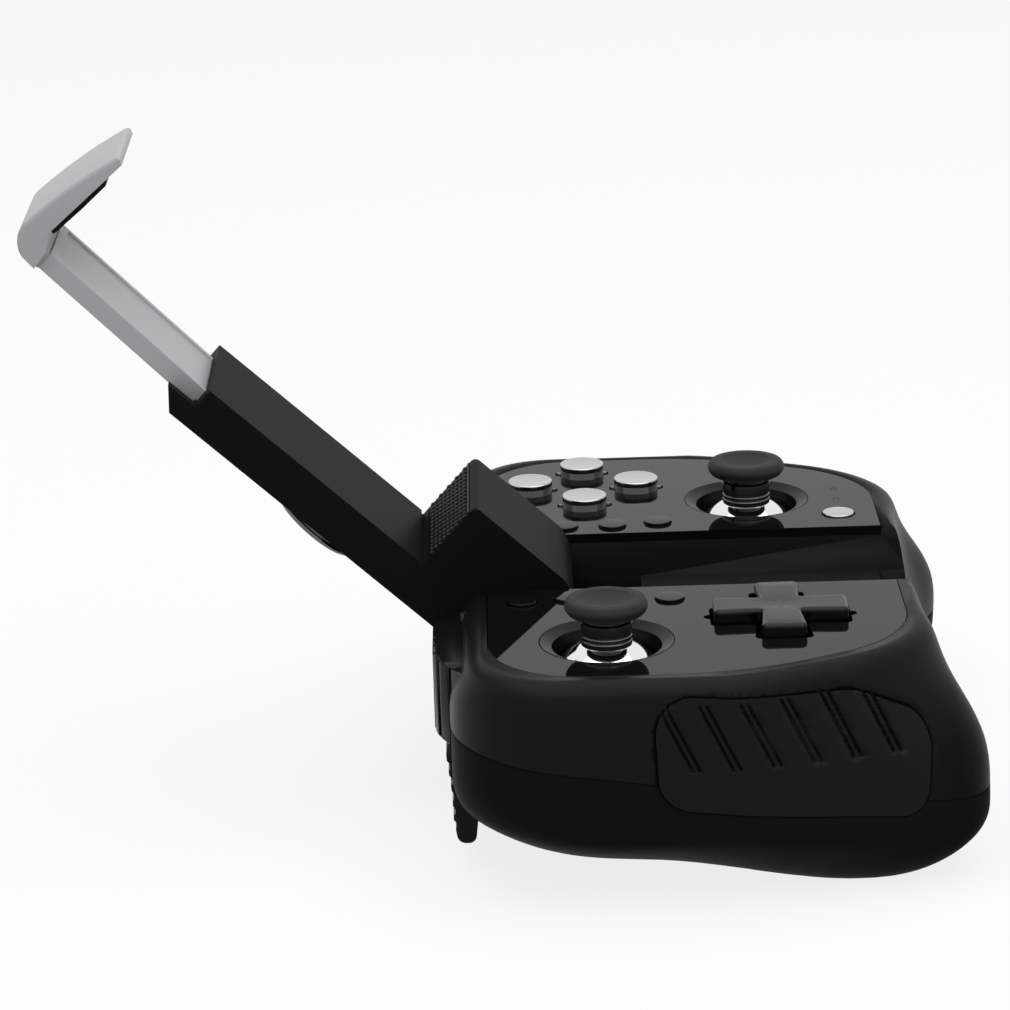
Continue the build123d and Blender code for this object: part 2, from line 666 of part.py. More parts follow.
def sleeve_profile():
    """Side outline of the holder: arm, lower jaw and round hinge end."""
    b = HOLDER_BACK
    with BuildSketch() as sk:
        with BuildLine():
            Polyline((0, -b), (LIP_END - 3.8, -b), (LIP_END, HOLDER_SEAM), (SLEEVE_END, HOLDER_SEAM),
                     (SLEEVE_END, HOLDER_FRONT), (JAW_AT, HOLDER_FRONT), (JAW_AT, JAW_HEIGHT),
                     (0, JAW_HEIGHT))
            RadiusArc((0, JAW_HEIGHT), (-b, JAW_HEIGHT - b), -b)
            Line((-b, JAW_HEIGHT - b), (-b, 0))
            RadiusArc((-b, 0), (0, -b), -b)
        make_face()
    return sk.sketch


def slider_frame():
    """The slider's own frame: its top face at the sleeve's end, pointing out of the sleeve."""
    return ARM * Pos(SLEEVE_END, SLIDER_MOUTH, 0) * Rot(0, 0, SLIDER_RISE)


def slider_plane():
    place = slider_frame()
    return Plane(place)


def holder():
    """The sleeve with its lower jaw, bored for the hinge pin and slotted for the slider.

    It comes as two halves that meet on a flat seam, the front one with the jaw.
    """
    body = across(sleeve_profile(), -HOLDER_HALF, HOLDER_HALF, ARM)
    body -= cross_rod(HINGE_Y, HINGE_Z, PIN_RADIUS + RUNNING, -HOLDER_HALF - 1, HOLDER_HALF + 1)
    frame = slider_plane()
    g = SLIDER_GAP
    slot = make_face(Polyline(
        (-SLOT_LENGTH, -SLIDER_THICK - g), (30, -SLIDER_THICK - g), (30, g), (-SLOT_LENGTH, g),
        close=True,
    ))
    body -= across(slot, -SLIDER_HALF - g, SLIDER_HALF + g, frame)
    scoop = make_face(Polyline((0.4, -4.6), (30, -4.6), (30, 6), (0.4, 6), close=True))
    body -= across(scoop, -JAW_HALF - 0.3, JAW_HALF + 0.3, frame)
    pad = block(JAW_AT - PAD_SINK, JAW_AT + 5, PAD_LOW, JAW_HEIGHT - 1.6, -PAD_HALF, PAD_HALF)
    body -= ARM.location * pad
    wide, deep = JAW_RELIEF
    body -= ARM.location * block(
        JAW_AT - 0.01, JAW_AT + wide, HOLDER_FRONT - deep, HOLDER_FRONT + 0.1, -HOLDER_HALF - 1, HOLDER_HALF + 1
    )
    seat = ARM.location * Pos(BADGE_AT, -HOLDER_BACK, 0) * Rot(90, 0, 0) * Cylinder(BADGE_RADIUS, 2 * BADGE_SINK)
    body -= seat
    seam = Plane(ARM.location * Pos(0, HOLDER_SEAM, 0) * Rot(-90, 0, 0))
    front = split(body, bisect_by=seam, keep=Keep.TOP)
    back = split(body, bisect_by=seam, keep=Keep.BOTTOM)
    return front, back


def lower_jaw_pad():
    pad = block(JAW_AT - PAD_SINK, JAW_AT + PAD_PROUD, PAD_LOW + 0.1, JAW_HEIGHT - 1.7, -PAD_HALF + 0.1, PAD_HALF - 0.1)
    return ARM.location * pad


def badge_place():
    """On the holder's back, its axis pointing out of the back."""
    return ARM.location * Pos(BADGE_AT, -HOLDER_BACK + BADGE_SINK, 0) * Rot(90, 0, 0)


def badge_ring():
    rim, inner = BADGE_RADIUS - 0.05, BADGE_RADIUS - 1.9
    face = make_face(Polyline(
        (inner, 0), (rim, 0), (rim, BADGE_SINK + 0.9), (rim - 0.75, BADGE_SINK + BADGE_RIM),
        (inner, BADGE_SINK + BADGE_RIM), close=True,
    ))
    return badge_place() * revolve(Plane.XZ * face, Axis.Z)


def badge_lens():
    radius = BADGE_RADIUS - 1.95
    edge = BADGE_SINK + BADGE_RIM - 0.3
    curve = (radius * radius + BADGE_DOME * BADGE_DOME) / (2 * BADGE_DOME)
    lens = Pos(0, 0, (edge + BADGE_DOME) / 2) * Cylinder(radius, edge + BADGE_DOME)
    return badge_place() * (lens & Pos(0, 0, edge + BADGE_DOME - curve) * Sphere(curve))


def slider_arm():
    """The flat bar that carries the upper jaw, with raised edges on its phone side."""
    frame = slider_plane()
    inner = SLIDER_TRAVEL - SLOT_LENGTH + 0.5
    reach = 40.8
    bar = make_face(Polyline(
        (inner, -SLIDER_THICK), (reach, -SLIDER_THICK), (reach, 0), (inner, 0), close=True,
    ))
    body = across(bar, -SLIDER_HALF, SLIDER_HALF, frame)
    valley = make_face(Polyline((inner + 6, -0.5), (reach - 2, -0.5), (reach - 2, 1), (inner + 6, 1), close=True))
    return body - across(valley, -SLIDER_HALF + 1.6, SLIDER_HALF - 1.6, frame)


def upper_jaw():
    """The hook at the slider's end: arched outside, thinning to its tip."""
    with BuildSketch() as side:
        with BuildLine():
            Polyline((118.7, 22.7), (120.9, 2.5), (118.9, -0.3), (118.6, -4.5), (122.5, -4.1))
            ThreePointArc((122.5, -4.1), (125.0, -1.8), (125.8, 1.2))
            ThreePointArc((125.8, 1.2), (123.7, 12.3), (120.3, 23.5))
            Line((120.3, 23.5), (118.7, 22.7))
        make_face()
    body = across(side.sketch, -JAW_HALF, JAW_HALF, ARM)
    frame = slider_plane()
    socket = make_face(Polyline((0, -6), (40.9, -6), (40.9, 0.05), (0, 0.05), close=True))
    return body - across(socket, -SLIDER_HALF - 0.05, SLIDER_HALF + 0.05, frame)


def upper_jaw_pad():
    """The thin rubber strip on the inside of the upper jaw."""
    strip = make_face(Polyline((120.75, 3.4), (119.1, 18.2), (118.3, 17.8), (119.8, 3.0), close=True))
    return across(strip, -JAW_HALF + 1.5, JAW_HALF - 1.5, ARM)


# Inside

def board_plan():
    return outline(
        (-64, -4, 18), (-21, -4, 2), (-21, -37, 2), (21, -37, 2), (21, -4, 2), (64, -4, 18),
        (64, -60, 14), (46, -77, 10), (-46, -77, 10), (-64, -60, 14),
    )


def screw_spots():
    return [(side * x, y) for x, y in SCREW_SPOTS for side in (-1, 1)]


def main_board():
    board = upright(board_plan(), BOARD_TOP - BOARD_THICK, BOARD_TOP)
    for x, y in screw_spots():
        board -= rod(x, y, SCREW_RADIUS + 0.4, BOARD_TOP - 3, BOARD_TOP + 1)
    return board


def key_mat(spots, corners):
    """A rubber sheet on the board with a dome under each button."""
    sheet = upright(outline(*corners), BOARD_TOP, BOARD_TOP + MAT_THICK)
    for x, y, radius in spots:
        sheet += turned(
            x, y, (0, BOARD_TOP + MAT_THICK / 2), (radius, BOARD_TOP + MAT_THICK / 2),
            (radius, BOARD_TOP + MAT_THICK), (radius * 0.6, BOARD_TOP + MAT_THICK + MAT_DOME),
            (0, BOARD_TOP + MAT_THICK + MAT_DOME),
        )
    return sheet


def left_key_mat():
    spots = [(x, y, SMALL_RADIUS * 0.7) for x, y in SMALL_SPOTS.values() if x < 0]
    x, y = DPAD_AT
    step = DPAD_HALF * 0.7
    spots += [(x + step, y, 2.5), (x - step, y, 2.5), (x, y + step, 2.5), (x, y - step, 2.5)]
    mat = key_mat(spots, [
        (-29, -4.5, 2), (-21.5, -4.5, 2), (-21.5, -42, 2), (-23, -73, 4), (-51, -73, 4), (-51, -43, 4),
        (-29, -43, 4),
    ])
    return mat - rod(x, y, 3.4, BOARD_TOP - 1, BOARD_TOP + 3)


def right_key_mat():
    spots = [(x, y, SMALL_RADIUS * 0.7) for x, y in SMALL_SPOTS.values() if x > 0]
    spots += [(x, y, FACE_RADIUS * 0.6) for x, y in face_spots().values()]
    x, y = FACE_AT
    reach = FACE_PITCH + 3.5
    return key_mat(spots, [
        (21.5, -14, 2), (x - 6, -14, 1.5), (x - 6, y + reach, 2), (x + 6, y + reach, 4),
        (x + reach, y + 5, 4), (x + reach, y - 6, 4), (x + 4, y - reach - 4, 4), (21.5, y - reach - 4, 2),
    ])


def battery():
    long, wide, thick = BATTERY
    floor = -BODY_DEPTH + WALL + 0.7
    cell = block(-long / 2, long / 2, -74, -74 + wide, floor, floor + thick)
    return fillet(cell.edges().filter_by(Axis.X), 2.0)


def charge_board():
    return block(-12, 12, -15, -1.5, USB_FLOOR - 1.0, USB_FLOOR)


def usb_socket():
    """The charging socket: a folded metal shell round a contact tongue."""
    wide, deep, tall = USB_SIZE
    mouth = 3.3
    shell = block(-wide / 2, wide / 2, mouth - deep, mouth, USB_FLOOR, USB_FLOOR + tall)
    t = 0.35
    shell -= block(
        -wide / 2 + t, wide / 2 - t, mouth - deep + 0.8, mouth + 1, USB_FLOOR + t, USB_FLOOR + tall - t
    )
    tongue = block(-2.6, 2.6, mouth - deep + 0.7, mouth - 0.6, USB_FLOOR + 1.1, USB_FLOOR + 1.7)
    return shell + tongue


def bumper_switches():
    """A push switch behind each bumper, on the board."""
    x = SWITCH_AT
    body = block(x - 3, x + 3, -12.5, -6.5, BOARD_TOP, BOARD_TOP + 8)
    swing = (x - BUMPER_PIVOT[0]) * math.sin(math.radians(BUMPER_PRESS))
    reach = BUMPER_INNER - swing - CONTACT_GAP + 7.0
    plunger = Pos(x, reach / 2 - 7.0, BOARD_TOP + 5) * Rot(90, 0, 0) * Cylinder(1.4, reach)
    one = body + plunger
    return [one, mirrored(one)]


def housing_screws():
    screws = []
    for x, y in screw_spots():
        screw = rod(x, y, SCREW_RADIUS, SCREW_SEAT, BOARD_TOP + 6) + rod(x, y, SCREW_HEAD, SCREW_SEAT - 1.8, SCREW_SEAT)
        screw -= Pos(x, y, SCREW_SEAT - 1.8) * Box(3.0, 0.6, 1.6)
        screw -= Pos(x, y, SCREW_SEAT - 1.8) * Box(0.6, 3.0, 1.6)
        screws.append(screw)
    return screws


def hinge_pin():
    reach = CHANNEL_HALF + CHANNEL_WALL + 1.4
    return cross_rod(HINGE_Y, HINGE_Z, PIN_RADIUS, -reach, reach)


def led_windows():
    return [block(x - 0.9, x + 0.9, y - 0.5, y + 0.5, -PLATE_THICK - 1.5, -0.05) for x, y in LED_SPOTS]


def set_down(shape):
    """Moves a piece from the drawing's face frame onto the table."""
    return Pos(0, MIDDLE_Y, STAND_HEIGHT) * shape


def both_sides(shape):
    return [shape, mirrored(shape)]


def housing():
    """The two shells with everything that is cut from them or stands up inside them."""
    outer = body_form()
    upper, lower = shells(outer)
    for x, y in screw_spots():
        low_boss = rod(x, y, BOSS_RADIUS, -60, BOARD_TOP - BOARD_THICK) & outer
        low_boss -= rod(x, y, SCREW_HEAD + 0.3, -60, SCREW_SEAT)
        lower -= rod(x, y, SCREW_HEAD + 0.3, -60, SCREW_SEAT)
        lower += low_boss - rod(x, y, SCREW_RADIUS + 0.15, -60, 0)
        upper += rod(x, y, BOSS_RADIUS - 0.6, BOARD_TOP, -DECK + 0.5) - rod(
            x, y, SCREW_RADIUS + 0.02, BOARD_TOP - 1, BOARD_TOP + 6.5
        )
    for x in (-9, 9):
        for y in (-2.5, -11.5):
            lower += rod(x, y, 1.8, -BODY_DEPTH + WALL / 2, USB_FLOOR - 1.0)
    for side in both_sides(cross_rod(HINGE_Y, HINGE_Z, 3.4, CHANNEL_HALF + 1, CHANNEL_HALF + CHANNEL_WALL + 1.5)):
        upper += side
    upper -= cross_rod(HINGE_Y, HINGE_Z, PIN_RADIUS + 0.02, -30, 30)
    cuts = [bumper_bay(), trigger_bay(), grip_pocket()]
    for cut in cuts + [mirrored(cut) for cut in cuts]:
        upper -= cut
        lower -= cut
    for walls in both_sides(trigger_ears(outer)):
        lower += walls
    across_hole, upright_hole = shoulder_pins(0.02)[:2]
    for hole in both_sides(across_hole) + both_sides(upright_hole):
        upper -= hole
        lower -= hole
    for recess in both_sides(upright(plate_outline(), -PLATE_THICK, 1)):
        upper -= recess
    for cut in control_holes(False):
        upper -= cut
    wide, _, tall = USB_SIZE
    lower -= block(
        -wide / 2 - 0.4, wide / 2 + 0.4, 0, REAR_Y + 2, USB_FLOOR - 0.4, USB_FLOOR + tall + 0.4
    )
    return upper, lower


def pieces():
    parts = {}
    parts["upper_shell"], parts["lower_shell"] = housing()
    parts["left_faceplate"] = face_plate(False)
    parts["right_faceplate"] = face_plate(True)
    for name, (x, y) in (("left", STICK_LEFT), ("right", STICK_RIGHT)):
        parts[f"{name}_stick_bezel"] = stick_bezel(x, y)
        parts[f"{name}_stick_module"] = stick_module(x, y)
        parts[f"{name}_stick_yoke"] = stick_yoke(x, y)
        parts[f"{name}_stick_shaft"] = stick_shaft(x, y)
        parts[f"{name}_stick_post"] = stick_post(x, y)
        parts[f"{name}_stick_cap"] = stick_cap(x, y)
    for name, (x, y) in face_spots().items():
        parts[name] = face_button(x, y)
        parts[name.replace("button", "cap")] = face_cap(x, y)
    for name, (x, y) in SMALL_SPOTS.items():
        parts[name] = small_button(x, y, SMALL_RADIUS, SMALL_TOP, SMALL_TRAVEL)
    parts["home_button"] = small_button(*HOME_AT, HOME_RADIUS, 0.8, SMALL_TRAVEL)
    parts["dpad"] = dpad()
    parts["dpad_rocker"] = dpad_rocker()
    parts["dpad_post"] = dpad_post()
    parts["right_bumper"] = bumper()
    parts["left_bumper"] = mirrored(parts["right_bumper"])
    parts["right_trigger"] = trigger()
    parts["left_trigger"] = mirrored(parts["right_trigger"])
    parts["right_grip_pad"] = grip_pad()
    parts["left_grip_pad"] = mirrored(parts["right_grip_pad"])
    parts["shoulder_pins"] = Compound(children=shoulder_pins())
    parts["holder_front"], parts["holder_back"] = holder()
    parts["lower_jaw_pad"] = lower_jaw_pad()
    parts["badge_ring"] = badge_ring()
    parts["badge_lens"] = badge_lens()
    parts["slider_arm"] = slider_arm()
    parts["upper_jaw"] = upper_jaw()
    parts["upper_jaw_pad"] = upper_jaw_pad()
    parts["hinge_pin"] = hinge_pin()
    parts["main_board"] = main_board()
    parts["left_key_mat"] = left_key_mat()
    parts["right_key_mat"] = right_key_mat()
    parts["battery"] = battery()
    parts["charge_board"] = charge_board()
    parts["usb_socket"] = usb_socket()
    parts["bumper_switches"] = Compound(children=bumper_switches())
    parts["housing_screws"] = Compound(children=housing_screws())
    parts["led_windows"] = Compound(children=led_windows())
    return parts


os.makedirs("parts", exist_ok=True)
for name, shape in pieces().items():
    export_step(set_down(shape), f"parts/{name}.step")
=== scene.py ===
# %% [markdown]
# # A wireless gamepad with a fold-out phone holder
#
# The solids of the gamepad come from its CAD model, which also says what turns and slides.
# This notebook dresses them: it gives each piece its finish, swaps the pieces whose look
# depends on fine detail for surfaces worked out with numpy, and sets up a small studio.

import json
import math

import bmesh
import bpy
import numpy as np
from mathutils import Matrix, Vector

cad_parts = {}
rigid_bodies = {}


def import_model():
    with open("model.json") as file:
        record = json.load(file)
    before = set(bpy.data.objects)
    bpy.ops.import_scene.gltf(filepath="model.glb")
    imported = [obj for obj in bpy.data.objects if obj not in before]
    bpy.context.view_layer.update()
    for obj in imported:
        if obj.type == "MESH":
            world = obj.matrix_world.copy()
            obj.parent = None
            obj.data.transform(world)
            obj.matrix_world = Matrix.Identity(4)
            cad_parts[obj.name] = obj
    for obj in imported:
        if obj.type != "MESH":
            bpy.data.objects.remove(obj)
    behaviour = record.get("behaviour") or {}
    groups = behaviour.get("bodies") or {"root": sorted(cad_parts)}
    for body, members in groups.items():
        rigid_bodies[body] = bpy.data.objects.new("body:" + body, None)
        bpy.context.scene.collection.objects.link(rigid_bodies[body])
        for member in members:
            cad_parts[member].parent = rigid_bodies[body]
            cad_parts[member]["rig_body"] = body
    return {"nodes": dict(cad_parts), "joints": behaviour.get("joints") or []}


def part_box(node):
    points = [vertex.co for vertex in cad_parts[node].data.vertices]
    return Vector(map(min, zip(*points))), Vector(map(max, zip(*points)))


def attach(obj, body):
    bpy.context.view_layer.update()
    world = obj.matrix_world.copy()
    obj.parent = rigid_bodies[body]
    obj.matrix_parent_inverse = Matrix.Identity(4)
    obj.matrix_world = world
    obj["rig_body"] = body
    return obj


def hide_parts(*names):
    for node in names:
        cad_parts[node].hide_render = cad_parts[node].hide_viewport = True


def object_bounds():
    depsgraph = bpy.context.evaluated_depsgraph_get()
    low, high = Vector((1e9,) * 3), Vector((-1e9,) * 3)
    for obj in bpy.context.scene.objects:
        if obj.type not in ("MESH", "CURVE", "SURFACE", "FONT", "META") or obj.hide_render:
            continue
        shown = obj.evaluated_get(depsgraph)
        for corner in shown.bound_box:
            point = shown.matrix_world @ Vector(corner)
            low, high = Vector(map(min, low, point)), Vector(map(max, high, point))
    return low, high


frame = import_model()
cad_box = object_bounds()
print("CAD box", [round(v * 1000) for v in cad_box[1] - cad_box[0]], "mm")

# %% [markdown]
# ## Sizes that several pieces share
#
# Blender works in metres and a gamepad is measured in millimetres, so one name, MM, turns
# the one into the other. Places are read off the CAD pieces, so nothing has to be fitted
# by eye: a stick's middle is the middle of its cap's box, for instance.

# %% Shared sizes and places
MM = 0.001
joints = {joint["name"]: joint for joint in frame["joints"]}
HINGE = np.array(joints["holder_fold"]["pos_m"])
HOLDER_ANGLE = math.radians(42.5)
PLATE_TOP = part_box("left_faceplate")[1].z
SIDES = ("left", "right")
FACE_BUTTONS = ("right", "rear", "left", "front")
SMALL_BUTTONS = ("select", "mode", "turbo", "start", "play", "clear")

# The holder's own directions: along the arm, and across it towards the phone
ALONG = np.array([0, math.cos(HOLDER_ANGLE), math.sin(HOLDER_ANGLE)])
ACROSS = np.array([0, -math.sin(HOLDER_ANGLE), math.cos(HOLDER_ANGLE)])
SIDEWAYS = np.array([1.0, 0.0, 0.0])
UP = np.array([0.0, 0.0, 1.0])

# How many points a turned piece has around it, for large and for small ones
STEPS, FINE_STEPS, BADGE_STEPS, FACE_STEPS, SMALL_STEPS = 96, 128, 144, 72, 56


def middle(node):
    """Centre of a CAD node's box, seen from above, as (x, y)."""
    low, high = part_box(node)
    return (low.x + high.x) / 2, (low.y + high.y) / 2


def on_plate(x, y, height=0.0):
    """A point in metres, height mm above the face plates."""
    return np.array([x, y, PLATE_TOP + height * MM])


def on_holder(along, across, x=0.0):
    """A point in metres from its distances to the hinge in mm, along and across the arm."""
    return HINGE + (along * ALONG + across * ACROSS + x * SIDEWAYS) * MM


print("plates at", round(PLATE_TOP / MM, 2), "mm, hinge at", HINGE / MM)

# %% [markdown]
# ## Putting worked-out surfaces into meshes
#
# Every new surface here is one array of points on a grid. Two parameters run over the grid,
# such as "round the axis" and "along the profile", and each cell of the grid becomes one
# four-sided face. Making the faces from index arrays keeps Python loops out of it.


# %% Helpers that turn arrays into meshes
def put_in_scene(name, points, faces, body, smooth_angle=40):
    """A mesh object from points (n, 3) in metres and a list of faces, riding on a CAD body."""
    mesh = bpy.data.meshes.new(name)
    mesh.from_pydata(points.tolist(), [], faces)
    mesh.validate()
    mesh.shade_smooth()
    mesh.set_sharp_from_angle(angle=math.radians(smooth_angle))
    piece = bpy.data.objects.new(name, mesh)
    bpy.context.scene.collection.objects.link(piece)
    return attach(piece, body)


def grid_faces(rows, columns, wrap=False):
    """Faces of a grid of points stored row by row; wrap joins the last column to the first."""
    i, j = np.meshgrid(np.arange(rows - 1), np.arange(columns if wrap else columns - 1), indexing="ij")
    j_next = (j + 1) % columns
    corners = [i * columns + j, i * columns + j_next, (i + 1) * columns + j_next, (i + 1) * columns + j]
    return np.stack([c.ravel() for c in corners], axis=1).tolist()


def fan(ring, middle_point):
    """Triangles from each side of a closed ring of points to one point in its middle."""
    return np.stack([ring, np.roll(ring, -1), np.full(len(ring), middle_point)], axis=1).tolist()


def turned_piece(name, profile, foot, body, axis=UP, steps=STEPS, smooth_angle=40):
    """A turned piece: each profile point (radius, height), in mm, is carried once round an axis.

    point = foot + radius (u cos t + v sin t) + height axis, where u, v and the axis stand at
    right angles. A profile that starts and ends on the axis closes there with one pole each;
    any other profile has to close on itself. Heights rise along the outside of the profile.
    """
    profile = np.asarray(profile, float) * MM
    u = np.cross(SIDEWAYS, axis) if abs(axis[0]) < 0.9 else np.cross(UP, axis)
    u = u / np.linalg.norm(u)
    v = np.cross(axis, u)
    t = np.linspace(0, 2 * math.pi, steps, endpoint=False)
    on_axis = profile[0, 0] < 1e-9
    rings = profile[1:-1] if on_axis else profile
    around = np.cos(t)[:, None] * u + np.sin(t)[:, None] * v
    points = foot + rings[:, 0, None, None] * around + rings[:, 1, None, None] * axis
    points = points.reshape(-1, 3)
    faces = grid_faces(len(rings), steps, wrap=True)
    here = np.arange(steps)
    after = (here + 1) % steps
    last = (len(rings) - 1) * steps
    if on_axis:
        poles = foot + profile[[0, -1], 1, None] * axis
        points = np.vstack([points, poles])
        faces += fan(here[::-1], len(points) - 2)
        faces += fan(last + here, len(points) - 1)
    else:
        faces += np.stack([last + here, last + after, after, here], axis=1).tolist()
    return put_in_scene(name, points, faces, body, smooth_angle)


def paint_rows(piece, first, last, material, steps=STEPS):
    """Add a second material to a turned piece, on its rows of faces first to last - 1."""
    piece.data.materials.append(material)
    row = np.arange(len(piece.data.polygons)) // steps
    index = ((row >= first) & (row < last)).astype(np.int32)
    piece.data.polygons.foreach_set("material_index", index)


# %% [markdown]
# ## Drawing profiles and outlines
#
# A turned piece needs a half profile and a bar needs an outline. Both are put together from
# straight runs, circle arcs and rounded corners. Profiles are in (radius, height), in mm.


# %% Helpers that draw lines
def arc(middle_at, radius, start, end, steps=12):
    """Points of a circle arc in a profile: middle + radius (cos a, sin a), a in degrees."""
    a = np.radians(np.linspace(start, end, steps))
    return np.stack([middle_at[0] + radius * np.cos(a), middle_at[1] + radius * np.sin(a)], axis=1)


def join(*runs):
    """One profile from several runs of points."""
    return np.vstack([np.atleast_2d(np.asarray(run, float)) for run in runs])


def rounded(corners, radii, steps=6):
    """A profile with rounded corners: each corner becomes a short curve between its sides.

    The curve is the quadratic one with the corner as its middle control point,
    (1-s)^2 A + 2 s (1-s) corner + s^2 B, where A and B lie on the sides at the given distance.
    """
    corners = np.asarray(corners, float)
    s = np.linspace(0, 1, steps)[:, None]
    line = [corners[:1]]
    for before, corner, after, radius in zip(corners, corners[1:], corners[2:], radii):
        a = corner + (before - corner) / np.linalg.norm(before - corner) * radius
        b = corner + (after - corner) / np.linalg.norm(after - corner) * radius
        line.append((1 - s) ** 2 * a + 2 * s * (1 - s) * corner + s ** 2 * b)
    line.append(corners[-1:])
    return np.vstack(line)


def evenly(line, count):
    """count points at equal distances along a closed line."""
    reach = np.append(0, np.cumsum(np.linalg.norm(np.diff(line, axis=0), axis=1)))
    where = np.linspace(0, reach[-1], count, endpoint=False)
    return np.stack([np.interp(where, reach, line[:, axis]) for axis in (0, 1)], axis=1)


# %% [markdown]
# ## Dressing a CAD piece
#
# A CAD piece arrives as loose flat triangles, so a round wall would look faceted. A copy of
# it is merged at its shared corners, shaded smooth up to a chosen angle and, where the real
# moulding has a softened edge, given a narrow bevel. The copy then stands for the CAD piece.


# %% A helper that dresses CAD pieces
MERGE = 0.002 * MM
FLAT, REAL_EDGE = math.radians(0.4), math.radians(12)


def along_across(points):
    """The distances to the hinge, in mm, of points (n, 3) in metres: along and across the arm."""
    return (points - HINGE) @ ALONG / MM, (points - HINGE) @ ACROSS / MM


def dressed(node, material, edge=0.0, smooth_angle=32, chosen=None, round_off=0.0):
    """A merged, smoothly shaded copy of a CAD node, with its edges softened by edge (in mm).

    chosen picks corner points; edges between two of them are rounded off by round_off mm.
    """
    source = frame["nodes"][node]
    mesh = source.data.copy()
    mesh.name = node + "_skin"
    shape = bmesh.new()
    shape.from_mesh(mesh)
    bmesh.ops.remove_doubles(shape, verts=shape.verts, dist=MERGE)
    if edge or chosen:
        bmesh.ops.dissolve_limit(shape, angle_limit=FLAT, verts=shape.verts, edges=shape.edges)
    if chosen:
        picked = dict(zip(shape.verts, chosen(np.array([corner.co for corner in shape.verts]))))
        edges = [e for e in shape.edges if picked[e.verts[0]] and picked[e.verts[1]]
                 and e.calc_face_angle(0) > REAL_EDGE]
        bmesh.ops.bevel(shape, geom=edges, offset=round_off * MM, segments=6, profile=0.5, affect="EDGES")
        print(node, "edges rounded:", len(edges))
    shape.to_mesh(mesh)
    shape.free()
    mesh.materials.clear()
    mesh.materials.append(material)
    mesh.shade_smooth()
    mesh.set_sharp_from_angle(angle=math.radians(smooth_angle))
    skin = bpy.data.objects.new(node + "_skin", mesh)
    bpy.context.scene.collection.objects.link(skin)
    if edge:
        bevel = skin.modifiers.new("soft edges", "BEVEL")
        bevel.width = edge * MM
        bevel.segments = 3
        bevel.limit_method = "ANGLE"
        bevel.angle_limit = math.radians(smooth_angle)
        bevel.harden_normals = True
    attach(skin, source["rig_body"])
    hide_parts(node)


# %% [markdown]
# ## Shader helpers
#
# A finish is a small graph of shader nodes. Two kinds of node come again and again: one that
# carries a span of values to another span, and one that does a sum. Each gets a helper.


# %% Helpers that add shader nodes
def mapped(tree, value, low, high, to_low=0.0, to_high=1.0):
    """value carried from the span low..high to to_low..to_high, and held at its ends."""
    node = tree.nodes.new("ShaderNodeMapRange")
    node.inputs["From Min"].default_value = low
    node.inputs["From Max"].default_value = high
    node.inputs["To Min"].default_value = to_low
    node.inputs["To Max"].default_value = to_high
    tree.links.new(value, node.inputs["Value"])
    return node.outputs["Result"]


def combined(tree, operation, first, second=None, constant=0.0):
    """One Math node: first and second, or first and a constant, put together."""
    node = tree.nodes.new("ShaderNodeMath")
    node.operation = operation
    node.inputs[1].default_value = constant
    tree.links.new(first, node.inputs[0])
    if second is not None:
        tree.links.new(second, node.inputs[1])
    return node.outputs["Value"]


# %% [markdown]
# ## Finishes
#
# The whole gamepad is black, so its pieces are told apart by how they shine: the shells are
# a dull fine-grained plastic, the face plates are polished like glass, the caps are rubber
# and the bright parts are polished metal. One helper makes all of them from a colour, a
# roughness and an optional grain, which is a noise pattern that tilts the surface slightly.
# A mottled finish lets the same noise vary its roughness instead.


# %% A helper that makes finishes
def finish(name, colour, roughness, metal=0.0, specular=0.5, grain=0.0, grain_size=0.3, mottle=0.0):
    """A procedural finish. grain is the depth of its texture in mm, grain_size its size in mm."""
    material = bpy.data.materials.new(name)
    material.use_nodes = True
    nodes, links = material.node_tree.nodes, material.node_tree.links
    surface = nodes["Principled BSDF"]
    surface.inputs["Base Color"].default_value = (*colour, 1.0)
    surface.inputs["Roughness"].default_value = roughness
    surface.inputs["Metallic"].default_value = metal
    surface.inputs["Specular IOR Level"].default_value = specular
    place = nodes.new("ShaderNodeTexCoord")
    noise = nodes.new("ShaderNodeTexNoise")
    noise.inputs["Scale"].default_value = 1 / (grain_size * MM)
    noise.inputs["Detail"].default_value = 2.0
    links.new(place.outputs["Object"], noise.inputs["Vector"])
    if grain:
        bump = nodes.new("ShaderNodeBump")
        bump.inputs["Strength"].default_value = 1.0
        bump.inputs["Distance"].default_value = grain * MM
        links.new(noise.outputs["Fac"], bump.inputs["Height"])
        links.new(bump.outputs["Normal"], surface.inputs["Normal"])
    if mottle:
        span = roughness - mottle, roughness + mottle
        patchy = mapped(material.node_tree, noise.outputs["Fac"], 0.0, 1.0, *span)
        links.new(patchy, surface.inputs["Roughness"])
    return material


def grey(value):
    """A neutral colour of that brightness."""
    return (value, value, value * 1.03)


before = len(bpy.data.materials)
CROSS = finish("cross_plastic", grey(0.003), 0.10, specular=0.16, mottle=0.02, grain_size=6)
GLOSS = finish("polished_black", grey(0.0045), 0.03, specular=0.12, mottle=0.01, grain_size=30)
BEZEL = finish("satin_black", grey(0.006), 0.26, specular=0.09, mottle=0.03, grain_size=4)
RUBBER = finish("cap_rubber", grey(0.020), 0.60, specular=0.12, grain=0.012, grain_size=0.3)
GRIP = finish("grip_rubber", grey(0.0055), 0.46, specular=0.08, grain=0.010, grain_size=0.3)
CHROME = finish("polished_metal", grey(0.80), 0.07, metal=1.0, mottle=0.02, grain_size=3)
DARK_CHROME = finish("dark_polished_metal", grey(0.12), 0.09, metal=1.0, mottle=0.02, grain_size=3)
CAP_METAL = finish("button_metal", grey(0.50), 0.22, metal=1.0, mottle=0.05, grain_size=1.5)
COLUMN = finish("column_plastic", grey(0.012), 0.12, specular=0.9, mottle=0.04, grain_size=3)
